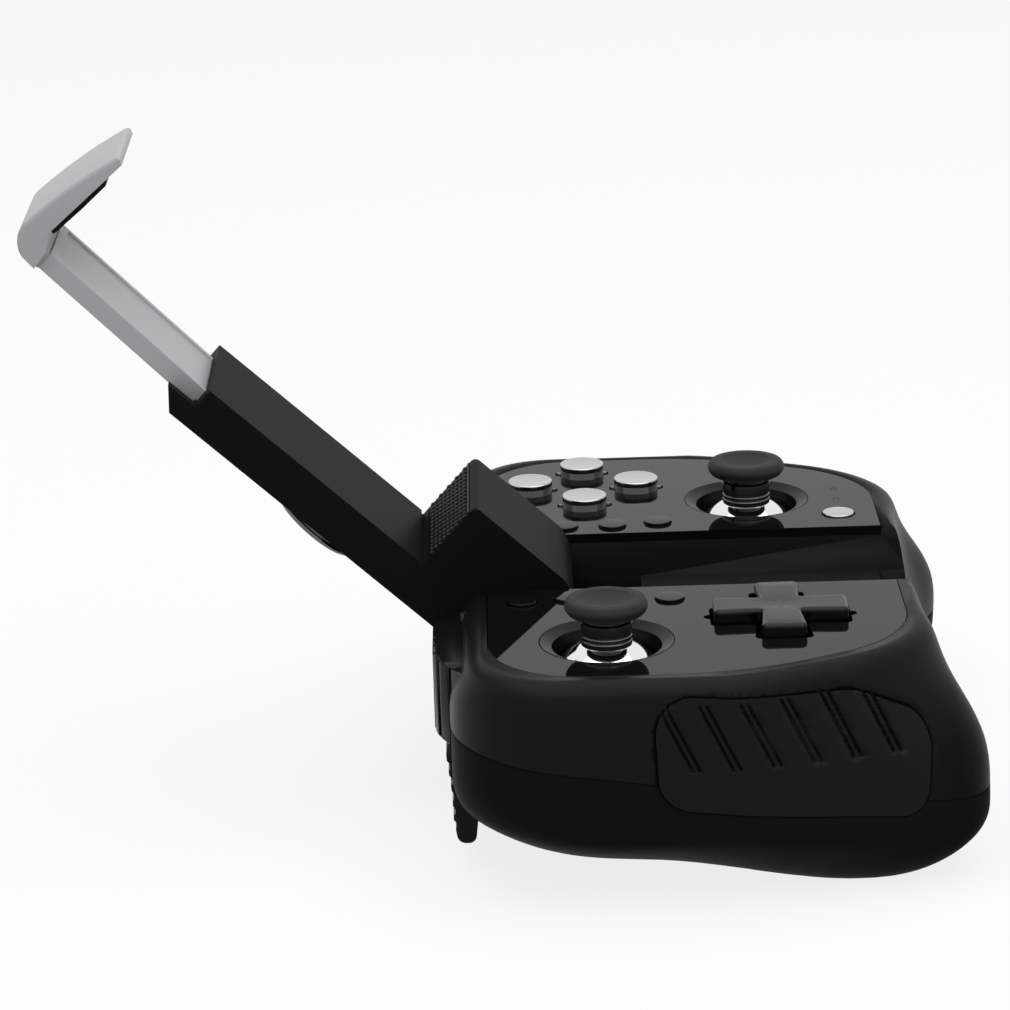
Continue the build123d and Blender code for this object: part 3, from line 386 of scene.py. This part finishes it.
SMOKED = finish("smoked_plastic", grey(0.010), 0.10, specular=0.26, mottle=0.02, grain_size=3)
KEY = finish("key_plastic", grey(0.010), 0.22, specular=0.5, mottle=0.03, grain_size=4)
HOLDER = finish("holder_plastic", grey(0.0068), 0.45, specular=0.018, grain=0.004, grain_size=0.25)
SHOULDER = finish("shoulder_plastic", grey(0.004), 0.26, specular=0.09, mottle=0.03, grain_size=4)
SILVER = finish("silver_plastic", grey(0.38), 0.38, specular=0.3, grain=0.004, grain_size=0.2)
PAD = finish("pad_rubber", grey(0.005), 0.5, specular=0.09, grain=0.01, grain_size=0.2)
BLACK_STEEL = finish("black_steel", grey(0.01), 0.35, specular=0.2, mottle=0.05, grain_size=2)
STEEL = finish("plain_steel", grey(0.5), 0.3, metal=1.0, mottle=0.05, grain_size=2)
BOARD = finish("circuit_board", (0.01, 0.09, 0.035), 0.35, mottle=0.05, grain_size=3)
MAT = finish("key_mat_rubber", grey(0.45), 0.6, mottle=0.05, grain_size=2)
CELL = finish("battery_wrap", grey(0.5), 0.4, metal=0.6, mottle=0.06, grain_size=5)
WHITE = finish("white_plastic", grey(0.6), 0.45, mottle=0.05, grain_size=3)
print(len(bpy.data.materials) - before, "finishes")

# %% [markdown]
# ## The two shells
#
# The shells meet in a slanting seam, and the upper one lies open in the middle, where the
# channel takes the folded holder. Their finish knows these places from the Object
# coordinates, which are in metres and count from the same point as the CAD model.

# %% Shell finishes that vary from place to place
SEAM_SLOPE = math.tan(math.radians(8.3))
SEAM_HEIGHT = PLATE_TOP - 15.2 * MM - 4 * MM * SEAM_SLOPE
SEAM_EDGE = (0.12 * MM, 0.3 * MM)
CHANNEL_EDGE = (17.6 * MM, 18.4 * MM)
FRONT_EDGE = (-86 * MM, -76 * MM)
# painted fill light: a paler grey for the channel, where hardly any light gets
CHANNEL_PAINTED_FILL_GREY = 0.013


def shell_seam_and_painted_light(material, specular, base):
    """Sheen of a shell by place: none in the seam, less in the channel and at the front end.

    The seam is the plane z = SEAM_HEIGHT + SEAM_SLOPE y. The lower sheen in the channel and
    at the front end is painted shade. The channel's colour is painted a little paler than base,
    as painted fill light, because hardly any light gets there.
    """
    tree = material.node_tree
    split = tree.nodes.new("ShaderNodeSeparateXYZ")
    place = next(node for node in tree.nodes if node.type == "TEX_COORD")
    tree.links.new(place.outputs["Object"], split.inputs["Vector"])
    fall = combined(tree, "MULTIPLY", split.outputs["Y"], constant=-SEAM_SLOPE)
    height = combined(tree, "ADD", split.outputs["Z"], fall)
    gap = combined(tree, "ABSOLUTE", combined(tree, "ADD", height, constant=-SEAM_HEIGHT))
    seam = mapped(tree, gap, *SEAM_EDGE)
    side = combined(tree, "ABSOLUTE", split.outputs["X"])
    # painted shade: the sheen is lowered in the channel and at the front end, so that they read darker
    sheen = combined(tree, "MULTIPLY", seam, mapped(tree, side, *CHANNEL_EDGE, 0.3, 1.0))
    sheen = combined(tree, "MULTIPLY", sheen, mapped(tree, split.outputs["Y"], *FRONT_EDGE, 0.3, 1.0))
    sheen = combined(tree, "MULTIPLY", sheen, constant=specular)
    surface = tree.nodes["Principled BSDF"]
    tree.links.new(sheen, surface.inputs["Specular IOR Level"])
    # painted fill light: the channel's base colour is paler than the rest of the shell
    dark = mapped(tree, side, *CHANNEL_EDGE, CHANNEL_PAINTED_FILL_GREY, base)
    tree.links.new(dark, surface.inputs["Base Color"])


UPPER_GREY, LOWER_GREY = 0.0048, 0.0065
UPPER = finish("upper_shell_plastic", grey(UPPER_GREY), 0.36, grain=0.004, grain_size=0.25)
LOWER = finish("lower_shell_plastic", grey(LOWER_GREY), 0.48, grain=0.004, grain_size=0.25)
shell_seam_and_painted_light(UPPER, 0.075, UPPER_GREY)
shell_seam_and_painted_light(LOWER, 0.015, LOWER_GREY)
print("seam rises", round(math.degrees(math.atan(SEAM_SLOPE)), 1), "degrees to the back")

# %% [markdown]
# ## The shells, face plates and everything that keeps its CAD shape
#
# Most pieces already have their true shape in the CAD model and only need a clean surface
# and a finish. They go through one table: the piece, its finish and its edge softening in mm.
# The two jaws also get a few broad roundings, on edges that are picked by their place.

# %% Dress the CAD pieces
plain_pieces = {
    "upper_shell": (UPPER, 0.0), "lower_shell": (LOWER, 0.0),
    "left_faceplate": (GLOSS, 0.28), "right_faceplate": (GLOSS, 0.28),
    "left_grip_pad": (GRIP, 0.0), "right_grip_pad": (GRIP, 0.0),
    "left_bumper": (SHOULDER, 0.0), "right_bumper": (SHOULDER, 0.0),
    "left_trigger": (SHOULDER, 0.0), "right_trigger": (SHOULDER, 0.0),
    "holder_back": (HOLDER, 0.0), "slider_arm": (SILVER, 0.5),
    "dpad_rocker": (WHITE, 0.0), "dpad_post": (WHITE, 0.0), "led_windows": (GLOSS, 0.0),
    "shoulder_pins": (BLACK_STEEL, 0.0), "hinge_pin": (STEEL, 0.0), "housing_screws": (STEEL, 0.0),
    "main_board": (BOARD, 0.0), "charge_board": (BOARD, 0.0),
    "left_key_mat": (MAT, 0.0), "right_key_mat": (MAT, 0.0),
    "battery": (CELL, 0.0), "usb_socket": (STEEL, 0.0), "bumper_switches": (KEY, 0.0),
}
for side in SIDES:
    plain_pieces[f"{side}_stick_module"] = (KEY, 0.0)
    plain_pieces[f"{side}_stick_yoke"] = (WHITE, 0.0)
    plain_pieces[f"{side}_stick_shaft"] = (STEEL, 0.0)
for side in FACE_BUTTONS:
    plain_pieces[f"{side}_face_button"] = (SMOKED, 0.0)

for node, (material, edge) in plain_pieces.items():
    dressed(node, material, edge)

LOWER_JAW_EDGE = (22.2, 15.5)


def lower_jaw_edge(points):
    """True for the points on the lower jaw's edge between its gripping face and its outer face."""
    off = np.abs(np.transpose(along_across(points)) - LOWER_JAW_EDGE)
    return off.max(axis=1) < 0.1


def upper_jaw_edges(points):
    """True for the points of the upper jaw's outer face that lie on its two side faces.

    The line along = 121.9 - 0.09 across runs inside the jaw, between its two large faces.
    """
    along, across = along_across(points)
    sideways = np.abs(points[:, 0])
    return (along > 121.9 - 0.09 * across) & (sideways > sideways.max() - 0.05 * MM)


dressed("holder_front", HOLDER, 0.15, chosen=lower_jaw_edge, round_off=1.3)
dressed("upper_jaw", SILVER, 0.15, chosen=upper_jaw_edges, round_off=0.9)
print(len(plain_pieces) + 2, "pieces dressed")

# %% [markdown]
# ## The sticks
#
# A stick is a shiny dome that closes its well, a smoky post with grooves and a rubber cap
# with a dished top. Each of them is round, so a half profile turned about the stick's axis
# gives the whole of it. Blender has a Screw modifier for this, but a profile in numpy keeps
# the poles closed and needs no applying. The dome hides the gimbal at every tilt because it
# is part of a ball whose middle is the point that the stick tilts about. Heights count from
# the top of the face plates.

# %% Dome, post, cap and bezel of each stick
STICK_PIVOT = -11.6
DOME, DOME_WALL = 12.1, 1.2

# The dome reaches from 38 to 68 degrees above the level of the point it tilts about
dome_profile = join(
    arc((0, STICK_PIVOT), DOME, 38, 68, 24), arc((0, STICK_PIVOT), DOME - DOME_WALL, 68, 38, 12),
)
post_profile = join(
    (0, 4.2), (1.65, 4.2), (1.65, -2.2), (4.6, -2.2), (4.95, -1.8), (4.95, 0.3),
    arc((5.2, 0.65), 0.43, 234, 126, 8), (4.95, 1.0), (4.95, 1.25), arc((5.2, 1.6), 0.43, 234, 126, 8),
    (4.95, 1.95), (4.95, 3.35), (5.1, 3.5), (5.1, 4.05), (4.95, 4.2), (4.4, 4.3), (4.4, 5.0), (0, 5.0),
)
cap_profile = join(
    (0, 5.0), (4.8, 5.0), (6.6, 5.35), rounded([(7.4, 5.8), (8.6, 7.3), (7.6, 8.25)], [1.6], 12),
    rounded([(7.6, 8.25), (7.0, 8.6), (6.0, 8.6)], [0.6], 6)[1:],
    rounded([(6.0, 8.6), (5.4, 8.6), (4.7, 8.25)], [0.4], 6)[1:],
    arc((0, 7.75 + 22.0), 22.0, -78, -90, 12)[:-1], (0, 7.75),
)
bezel_profile = join(
    (10.6, -4.2), (13.0, -4.2), (13.0, -0.15), arc((12.85, -0.15), 0.15, 0, 120, 5),
    (10.85, -0.95), arc((10.8, -1.15), 0.2, 100, 180, 4),
)

# The rows of the post's faces that make its dark metal collar, right under the cap
COLLAR_ROWS = (24, 27)

for side in SIDES:
    foot = on_plate(*middle(f"{side}_stick_bezel"))
    dome = turned_piece(f"{side}_stick_dome", dome_profile, foot, f"{side}_stick_top", steps=FINE_STEPS)
    dome.data.materials.append(CHROME)
    post = turned_piece(f"{side}_stick_column", post_profile, foot, f"{side}_stick_top")
    post.data.materials.append(COLUMN)
    paint_rows(post, *COLLAR_ROWS, DARK_CHROME)
    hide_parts(f"{side}_stick_post")
    cap = turned_piece(f"{side}_stick_pad", cap_profile, foot, f"{side}_stick_top", steps=FINE_STEPS)
    cap.data.materials.append(RUBBER)
    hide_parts(f"{side}_stick_cap")
    bezel = turned_piece(f"{side}_well_ring", bezel_profile, foot, "housing", steps=FINE_STEPS)
    bezel.data.materials.append(BEZEL)
    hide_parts(f"{side}_stick_bezel")
print("sticks at", [round(v / MM, 1) for side in SIDES for v in middle(f"{side}_stick_cap")])

# %% [markdown]
# ## The bright button caps and the small buttons
#
# The four face buttons wear thin dished metal caps on dark sides, and the small buttons are
# low black discs. They are turned as well, in fewer steps, because they are less than 10 mm
# across.

# %% Caps, small buttons and the silver button
CAP_TOP, CAP_DISH, CAP_CURVE = 2.4, 0.35, 30.0
face_cap_profile = join(
    (0, 1.3), (4.65, 1.3), (4.65, 2.05), arc((4.45, 2.2), 0.2, 0, 90, 5), (4.1, CAP_TOP),
    arc((0, CAP_TOP - CAP_DISH + CAP_CURVE), CAP_CURVE, -82.8, -90, 8)[:-1], (0, 2.05),
)
for side in FACE_BUTTONS:
    foot = on_plate(*middle(f"{side}_face_cap"))
    cap = turned_piece(f"{side}_bright_cap", face_cap_profile, foot, f"{side}_key", steps=FACE_STEPS)
    cap.data.materials.append(CAP_METAL)
    paint_rows(cap, 0, 1, SMOKED, steps=FACE_STEPS)
    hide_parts(f"{side}_face_cap")


BUTTON_FOOT, FLANGE_LOW, FLANGE_HIGH, FLANGE, RIM = -14.2, -3.2, -2.3, 0.5, 0.15


def button_profile(radius, top, dome):
    """A button's half profile: stem and flange under the plate, a rounded rim, a domed top.

    The height of the top is top - dome (r / flat)^2, where flat is the radius inside the rim.
    """
    stem, flange = radius * 0.6, radius + FLANGE
    flat, rim_low = radius - RIM, top - dome - RIM
    crown = np.linspace(1, 0, 8)[:, None] * (flat, 0)
    crown[:, 1] = top - dome * (crown[:, 0] / flat) ** 2
    return join(
        (0, BUTTON_FOOT), (stem, BUTTON_FOOT), (stem, FLANGE_LOW), (flange, FLANGE_LOW),
        (flange, FLANGE_HIGH), (radius, FLANGE_HIGH), (radius, rim_low),
        arc((flat, rim_low), RIM, 0, 80, 5), crown,
    )


small_profile = button_profile(2.85, 0.6, 0.04)
for word in SMALL_BUTTONS:
    foot = on_plate(*middle(f"{word}_button"))
    button = turned_piece(f"{word}_dome", small_profile, foot, f"{word}_key", steps=SMALL_STEPS)
    button.data.materials.append(GLOSS)
    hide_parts(f"{word}_button")
foot = on_plate(*middle("home_button"))
home = turned_piece("home_dome", button_profile(3.25, 0.6, 0.2), foot, "home_key", steps=FACE_STEPS)
home.data.materials.append(CAP_METAL)
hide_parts("home_button")
print("small buttons:", len(SMALL_BUTTONS) + 1)

# %% [markdown]
# ## The directional pad
#
# Seen from above the pad is a cross whose arms widen a little towards their ends. Its edge is
# one closed line with rounded corners; a short profile of a wall and a quarter circle is
# carried round that line. Smaller copies of the line lead from its rim to the middle, which
# lies a little lower: the dish is 0.25 exp(-(r / 3.5)^2) mm deep. Fans close both ends.

# %% A cross with softly rounded edges
CROSS_HALF, CROSS_ROOT, CROSS_TIP = 13.1, 3.85, 4.5
CROSS_LOW, CROSS_TOP, CROSS_ROUND = -1.5, 2.6, 0.8
TIP_ROUND, ROOT_ROUND = 1.5, 0.8
DISH_DEPTH, DISH_RADIUS = 0.25, 3.5

quarter = [(CROSS_HALF, CROSS_TIP), (CROSS_ROOT, CROSS_ROOT), (CROSS_TIP, CROSS_HALF)]
turned = [(x * c - y * s, x * s + y * c) for c, s in ((1, 0), (0, 1), (-1, 0), (0, -1)) for x, y in quarter]
radii = [TIP_ROUND, ROOT_ROUND, TIP_ROUND] * 4
outline = rounded([(CROSS_HALF, 0), *turned, (CROSS_HALF, 0)], radii, 8)
edge_line = evenly(outline, 360)
run = np.roll(edge_line, -1, axis=0) - np.roll(edge_line, 1, axis=0)
inward = np.stack([-run[:, 1], run[:, 0]], axis=1) / np.linalg.norm(run, axis=1)[:, None]
bend = np.radians(np.linspace(0, 90, 7))
inset = np.append(0, CROSS_ROUND * (1 - np.cos(bend)))
level = np.append(CROSS_LOW, CROSS_TOP - CROSS_ROUND + CROSS_ROUND * np.sin(bend))
shares = np.array([0.75, 0.5, 0.25])
rings = edge_line + inset[:, None, None] * inward
rings = np.concatenate([rings, rings[-1] * shares[:, None, None]])
level = np.append(level, np.full(len(shares), CROSS_TOP))
dish = DISH_DEPTH * np.exp(-(np.linalg.norm(rings, axis=2) / DISH_RADIUS) ** 2)
levels = level[:, None] - dish * (level > CROSS_TOP - 0.01)[:, None]
ends = [(0, 0, CROSS_LOW), (0, 0, CROSS_TOP - DISH_DEPTH)]
cross_points = np.vstack([np.dstack([rings, levels]).reshape(-1, 3), ends]) * MM
cross_points += on_plate(*middle("dpad"))
faces = grid_faces(len(rings), len(edge_line), wrap=True)
faces += fan(np.arange(len(edge_line))[::-1], len(cross_points) - 2)
faces += fan(np.arange(len(edge_line)) + (len(rings) - 1) * len(edge_line), len(cross_points) - 1)
cross = put_in_scene("soft_cross", cross_points, faces, "dpad")
cross.data.materials.append(CROSS)
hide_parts("dpad")
print("cross:", len(faces), "faces")

# %% [markdown]
# ## The badge on the holder's back
#
# A ring with a bright wall and a darker bead holds a domed black lens. Their axis stands
# square on the holder's back, so the same turning helper gets that direction instead of the
# upright one.

# %% Chrome ring and lens
BADGE_FOOT = on_holder(41.0, -8.6)
ring_profile = join(
    (8.3, 0.0), (10.15, 0.0), (10.15, 2.3), arc((9.8, 2.3), 0.35, 0, 80, 5), (9.6, 2.75),
    arc((9.1, 3.3), 0.7, -40, 110, 14), arc((8.7, 3.6), 0.4, 90, 180, 5),
)
lens_profile = join(
    (0, 0), (8.25, 0), (8.25, 3.5), arc((0, 4.5 - 36.0), 36.0, 76.8, 90, 14)[:-1], (0, 4.5),
)
ring = turned_piece("badge_rim", ring_profile, BADGE_FOOT, "holder", axis=-ACROSS, steps=BADGE_STEPS)
ring.data.materials.append(DARK_CHROME)
paint_rows(ring, 1, 2, CHROME, steps=BADGE_STEPS)
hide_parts("badge_ring")
lens_cap = turned_piece("badge_glass", lens_profile, BADGE_FOOT, "holder", axis=-ACROSS)
lens_cap.data.materials.append(GLOSS)
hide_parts("badge_lens")
print("badge at", [round(v / MM, 1) for v in BADGE_FOOT], "mm")

# %% [markdown]
# ## The strip in the upper jaw, and its heel
#
# Both are bars that run sideways: a closed outline, given by its distances along and across
# the holder, is drawn out to both sides of the middle plane and closed by a fan at each end.


# %% A strip that is thicker towards the jaw's tip, and a knuckle behind the slider
def bar(name, corners, radius, half_width, body, material):
    """A sideways bar: a rounded outline through corners (along, across), in mm.

    It reaches from x = -half_width to x = half_width.
    """
    corners = np.asarray(corners, float)
    start = (corners[0] + corners[-1]) / 2
    line = evenly(rounded([start, *corners, start], [radius] * len(corners), 5), 64)
    ends = np.array([-half_width, half_width])
    middle_at = line.mean(axis=0)
    outlines = [HINGE + (line[:, :1] * ALONG + line[:, 1:] * ACROSS + x * SIDEWAYS) * MM for x in ends]
    points = np.vstack([*outlines, *(on_holder(*middle_at, x)[None] for x in ends)])
    faces = grid_faces(2, len(line), wrap=True)
    faces += fan(np.arange(len(line))[::-1], 2 * len(line))
    faces += fan(np.arange(len(line)) + len(line), 2 * len(line) + 1)
    piece = put_in_scene(name, points, faces, body)
    piece.data.materials.append(material)
    return piece


STRIP = [(120.9, 3.2), (119.2, 18.3), (118.3, 17.3), (118.9, 10.5), (119.9, 3.0)]
KNUCKLE = [(119.2, -4.3), (119.2, -0.8), (117.9, -0.6), (117.9, -4.5)]
strip = bar("grip_strip", STRIP, 0.3, 12.5, "slider", PAD)
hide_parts("upper_jaw_pad")
bar("heel_knuckle", KNUCKLE, 0.4, 12.0, "slider", SILVER)
print("bars:", len(STRIP), "and", len(KNUCKLE), "corners")

# %% [markdown]
# ## The rubber pad on the lower jaw
#
# Rows of small oval bumps keep the phone from slipping. The pad is one height field: a grid
# of points over the pad, each lifted by the bump nearest to it. Every second row is shifted
# by half a bump, and a plain border runs along the jaw's tip. The field continues down the
# sides to the pad's back, so that the pad is a closed block. Each point also keeps its lift
# as an attribute, which lowers the sheen in the gaps between the bumps as painted shade.


# %% Bumps as a height field
def bump_height(across_pad, up_pad, pitch, row, top):
    """Height of the staggered bumps: half an egg shape on each bump's middle, none at the border.

    The height is sqrt(1 - d^2), where d is the distance to the nearest bump's middle as a share
    of the bump's half size in both directions.
    """
    line = np.round(up_pad / row)
    shifted = across_pad / pitch + 0.5 * (line % 2)
    off = np.hypot((shifted - np.round(shifted)) / 0.45, (up_pad / row - line) / 0.47)
    inside = (up_pad > 0.5 * row) & (up_pad < top)
    return np.where(inside & (off < 1), np.sqrt(np.clip(1 - off ** 2, 0, 1)), 0.0)


def block_under(front, back_along):
    """A closed block: the grid front, walls from its rim down to the back, and one flat back face.

    Each rim point has a twin that lies back_along from the hinge, measured along the arm.
    """
    rows, columns = front.shape[:2]
    index = np.arange(rows * columns).reshape(rows, columns)
    rim = np.concatenate([index[0, :-1], index[:-1, -1], index[-1, :0:-1], index[:0:-1, 0]])
    points = front.reshape(-1, 3)
    drop = (points[rim] - HINGE) @ ALONG - back_along * MM
    points = np.vstack([points, points[rim] - drop[:, None] * ALONG])
    twins = rows * columns + np.arange(len(rim))
    faces = grid_faces(rows, columns)
    faces += np.stack([rim, twins, np.roll(twins, -1), np.roll(rim, -1)], axis=1).tolist()
    faces.append(twins[::-1].tolist())
    return points, faces


PAD_BACK, PAD_FACE, BUMP_TOP, BORDER_TOP = 21.65, 22.1, 0.42, 0.34
PAD_HALF, PAD_LOW, PAD_HIGH, BORDER_LOW = 16.6, 0.9, 13.8, 13.2
BUMP_PITCH, BUMP_ROW, BUMPS_HIGH = 2.5, 1.25, 12.2
pad_x = np.linspace(PAD_HALF, -PAD_HALF, 267)
pad_up = np.linspace(PAD_LOW, PAD_HIGH, 105)
gx, gu = np.meshgrid(pad_x, pad_up)
bump = bump_height(gx, gu - PAD_LOW, BUMP_PITCH, BUMP_ROW, BUMPS_HIGH) * BUMP_TOP
rise = np.where(gu > BORDER_LOW, BORDER_TOP, 0.0) + bump
directions = (PAD_FACE + rise, ALONG), (gu, ACROSS), (gx, SIDEWAYS)
pad_points = HINGE + sum(length[..., None] * direction for length, direction in directions) * MM
points, faces = block_under(pad_points, PAD_BACK)
jaw_pad = put_in_scene("jaw_pad_bumps", points, faces, "holder", smooth_angle=50)
lift = np.append(rise.ravel() / BUMP_TOP, np.zeros(len(points) - rise.size))
jaw_pad.data.attributes.new("lift", "FLOAT", "POINT").data.foreach_set("value", lift.astype(np.float32))
STUDS = finish("stud_rubber", grey(0.006), 0.5, grain=0.006, grain_size=0.2)
lift_node = STUDS.node_tree.nodes.new("ShaderNodeAttribute")
lift_node.attribute_name = "lift"
# painted shade: the sheen falls with the lift, so the gaps between the bumps read darker
painted_gap_shade = mapped(STUDS.node_tree, lift_node.outputs["Fac"], 0.1, 0.9, 0.005, 0.10)
stud_surface = STUDS.node_tree.nodes["Principled BSDF"]
STUDS.node_tree.links.new(painted_gap_shade, stud_surface.inputs["Specular IOR Level"])
jaw_pad.data.materials.append(STUDS)
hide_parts("lower_jaw_pad")
print("pad:", len(faces), "faces")

# %% [markdown]
# ## The studio
#
# The photograph shows the gamepad on plain white, seen from its left side and a little from
# above through a long lens. The floor and the world are white to the camera, one broad lamp
# hangs overhead and a second, weak one fills in from the camera's side.


# %% Floor, world and lamps
GLOW = 1.06


def seen_directly(tree):
    """A node output that is 1 for what the camera, a polished surface or clear glass shows."""
    path = tree.nodes.new("ShaderNodeLightPath")
    seen = path.outputs["Is Camera Ray"]
    for ray in ("Is Glossy Ray", "Is Transmission Ray"):
        seen = combined(tree, "MAXIMUM", seen, path.outputs[ray])
    return seen


def stage_material(name, lit, shown):
    """A pale diffuse surface; shown is the share of white glow that the camera sees of it.

    GLOW is a little over white and makes up for the diffuse share, which isn't fully white.
    """
    material = bpy.data.materials.new(name)
    material.use_nodes = True
    nodes, links = material.node_tree.nodes, material.node_tree.links
    nodes.remove(nodes["Principled BSDF"])
    diffuse = nodes.new("ShaderNodeBsdfDiffuse")
    diffuse.inputs["Color"].default_value = (lit, lit, lit, 1.0)
    white = nodes.new("ShaderNodeEmission")
    white.inputs["Strength"].default_value = GLOW
    mix = nodes.new("ShaderNodeMixShader")
    share = combined(material.node_tree, "MULTIPLY", seen_directly(material.node_tree), constant=shown)
    links.new(share, mix.inputs["Fac"])
    links.new(diffuse.outputs["BSDF"], mix.inputs[1])
    links.new(white.outputs["Emission"], mix.inputs[2])
    links.new(mix.outputs["Shader"], nodes["Material Output"].inputs["Surface"])
    return material


FLOOR_HALF, FLOOR_LIT, FLOOR_SHOWN = 4.0, 0.65, 0.78
floor_mesh = bpy.data.meshes.new("floor")
ends = np.array([-FLOOR_HALF, FLOOR_HALF])
fx, fy = np.meshgrid(ends, ends)
floor_points = np.stack([fx, fy, 0 * fx + cad_box[0].z], axis=-1).reshape(-1, 3)
floor_mesh.from_pydata(floor_points.tolist(), [], [[0, 1, 3, 2]])
floor = bpy.data.objects.new("floor", floor_mesh)
floor.data.materials.append(stage_material("pale_floor", FLOOR_LIT, FLOOR_SHOWN))
bpy.context.scene.collection.objects.link(floor)

world = bpy.data.worlds.new("studio")
bpy.context.scene.world = world
world.use_nodes = True
tree = world.node_tree
background = tree.nodes["Background"]
AMBIENT = 0.32
level = mapped(tree, seen_directly(tree), 0.0, 1.0, AMBIENT, 1.0)
tree.links.new(level, background.inputs["Strength"])
background.inputs["Color"].default_value = (1, 1, 1, 1)


def soft_lamp(name, place, target, size, power):
    """A square area lamp at place, turned to shine at target."""
    lamp = bpy.data.lights.new(name, "AREA")
    lamp.shape = "SQUARE"
    lamp.size = size
    lamp.energy = power
    hung = bpy.data.objects.new(name, lamp)
    hung.location = place
    aim = np.array(target) - np.array(place)
    hung.rotation_mode = "QUATERNION"
    hung.rotation_quaternion = Vector(aim).to_track_quat("-Z", "Y")
    bpy.context.scene.collection.objects.link(hung)


soft_lamp("overhead", (-0.25, -0.1, 1.3), (0, 0, 0), 2.0, 23)
soft_lamp("fill", (-1.2, -0.6, 0.8), (0, 0, 0.03), 0.6, 1)
print("lamps: 2, ambient light", AMBIENT)

# %% [markdown]
# ## The camera
#
# Its place was worked out from the photograph: edges of known direction were followed to
# where they meet, which gives the tilt, and sizes near and far give the distance. The lens
# is long, about 150 mm on a full frame, and the camera leans over by less than two degrees.

# %% Camera
CAMERA_AT = np.array([-810.3, -1.9, 315.2]) * MM
LENS = 149.8
PITCH, YAW, ROLL = (math.radians(angle) for angle in (17.586, 0.063, -1.729))

forward = np.array([math.cos(PITCH) * math.cos(YAW), math.cos(PITCH) * math.sin(YAW), -math.sin(PITCH)])
level_right = np.array([math.sin(YAW), -math.cos(YAW), 0.0])
level_up = np.cross(level_right, forward)
right = math.cos(ROLL) * level_right + math.sin(ROLL) * level_up
up = -math.sin(ROLL) * level_right + math.cos(ROLL) * level_up

lens = bpy.data.cameras.new("camera")
lens.lens = LENS
lens.sensor_width = 36.0
lens.clip_start = 0.05
lens.clip_end = 20.0
camera = bpy.data.objects.new("camera", lens)
camera.matrix_world = Matrix([
    [right[0], up[0], -forward[0], CAMERA_AT[0]],
    [right[1], up[1], -forward[1], CAMERA_AT[1]],
    [right[2], up[2], -forward[2], CAMERA_AT[2]],
    [0, 0, 0, 1],
])
bpy.context.scene.collection.objects.link(camera)
bpy.context.scene.camera = camera
bpy.context.scene.view_settings.view_transform = "Standard"
print("camera", [round(v / MM) for v in CAMERA_AT], "mm, lens", LENS, "mm")
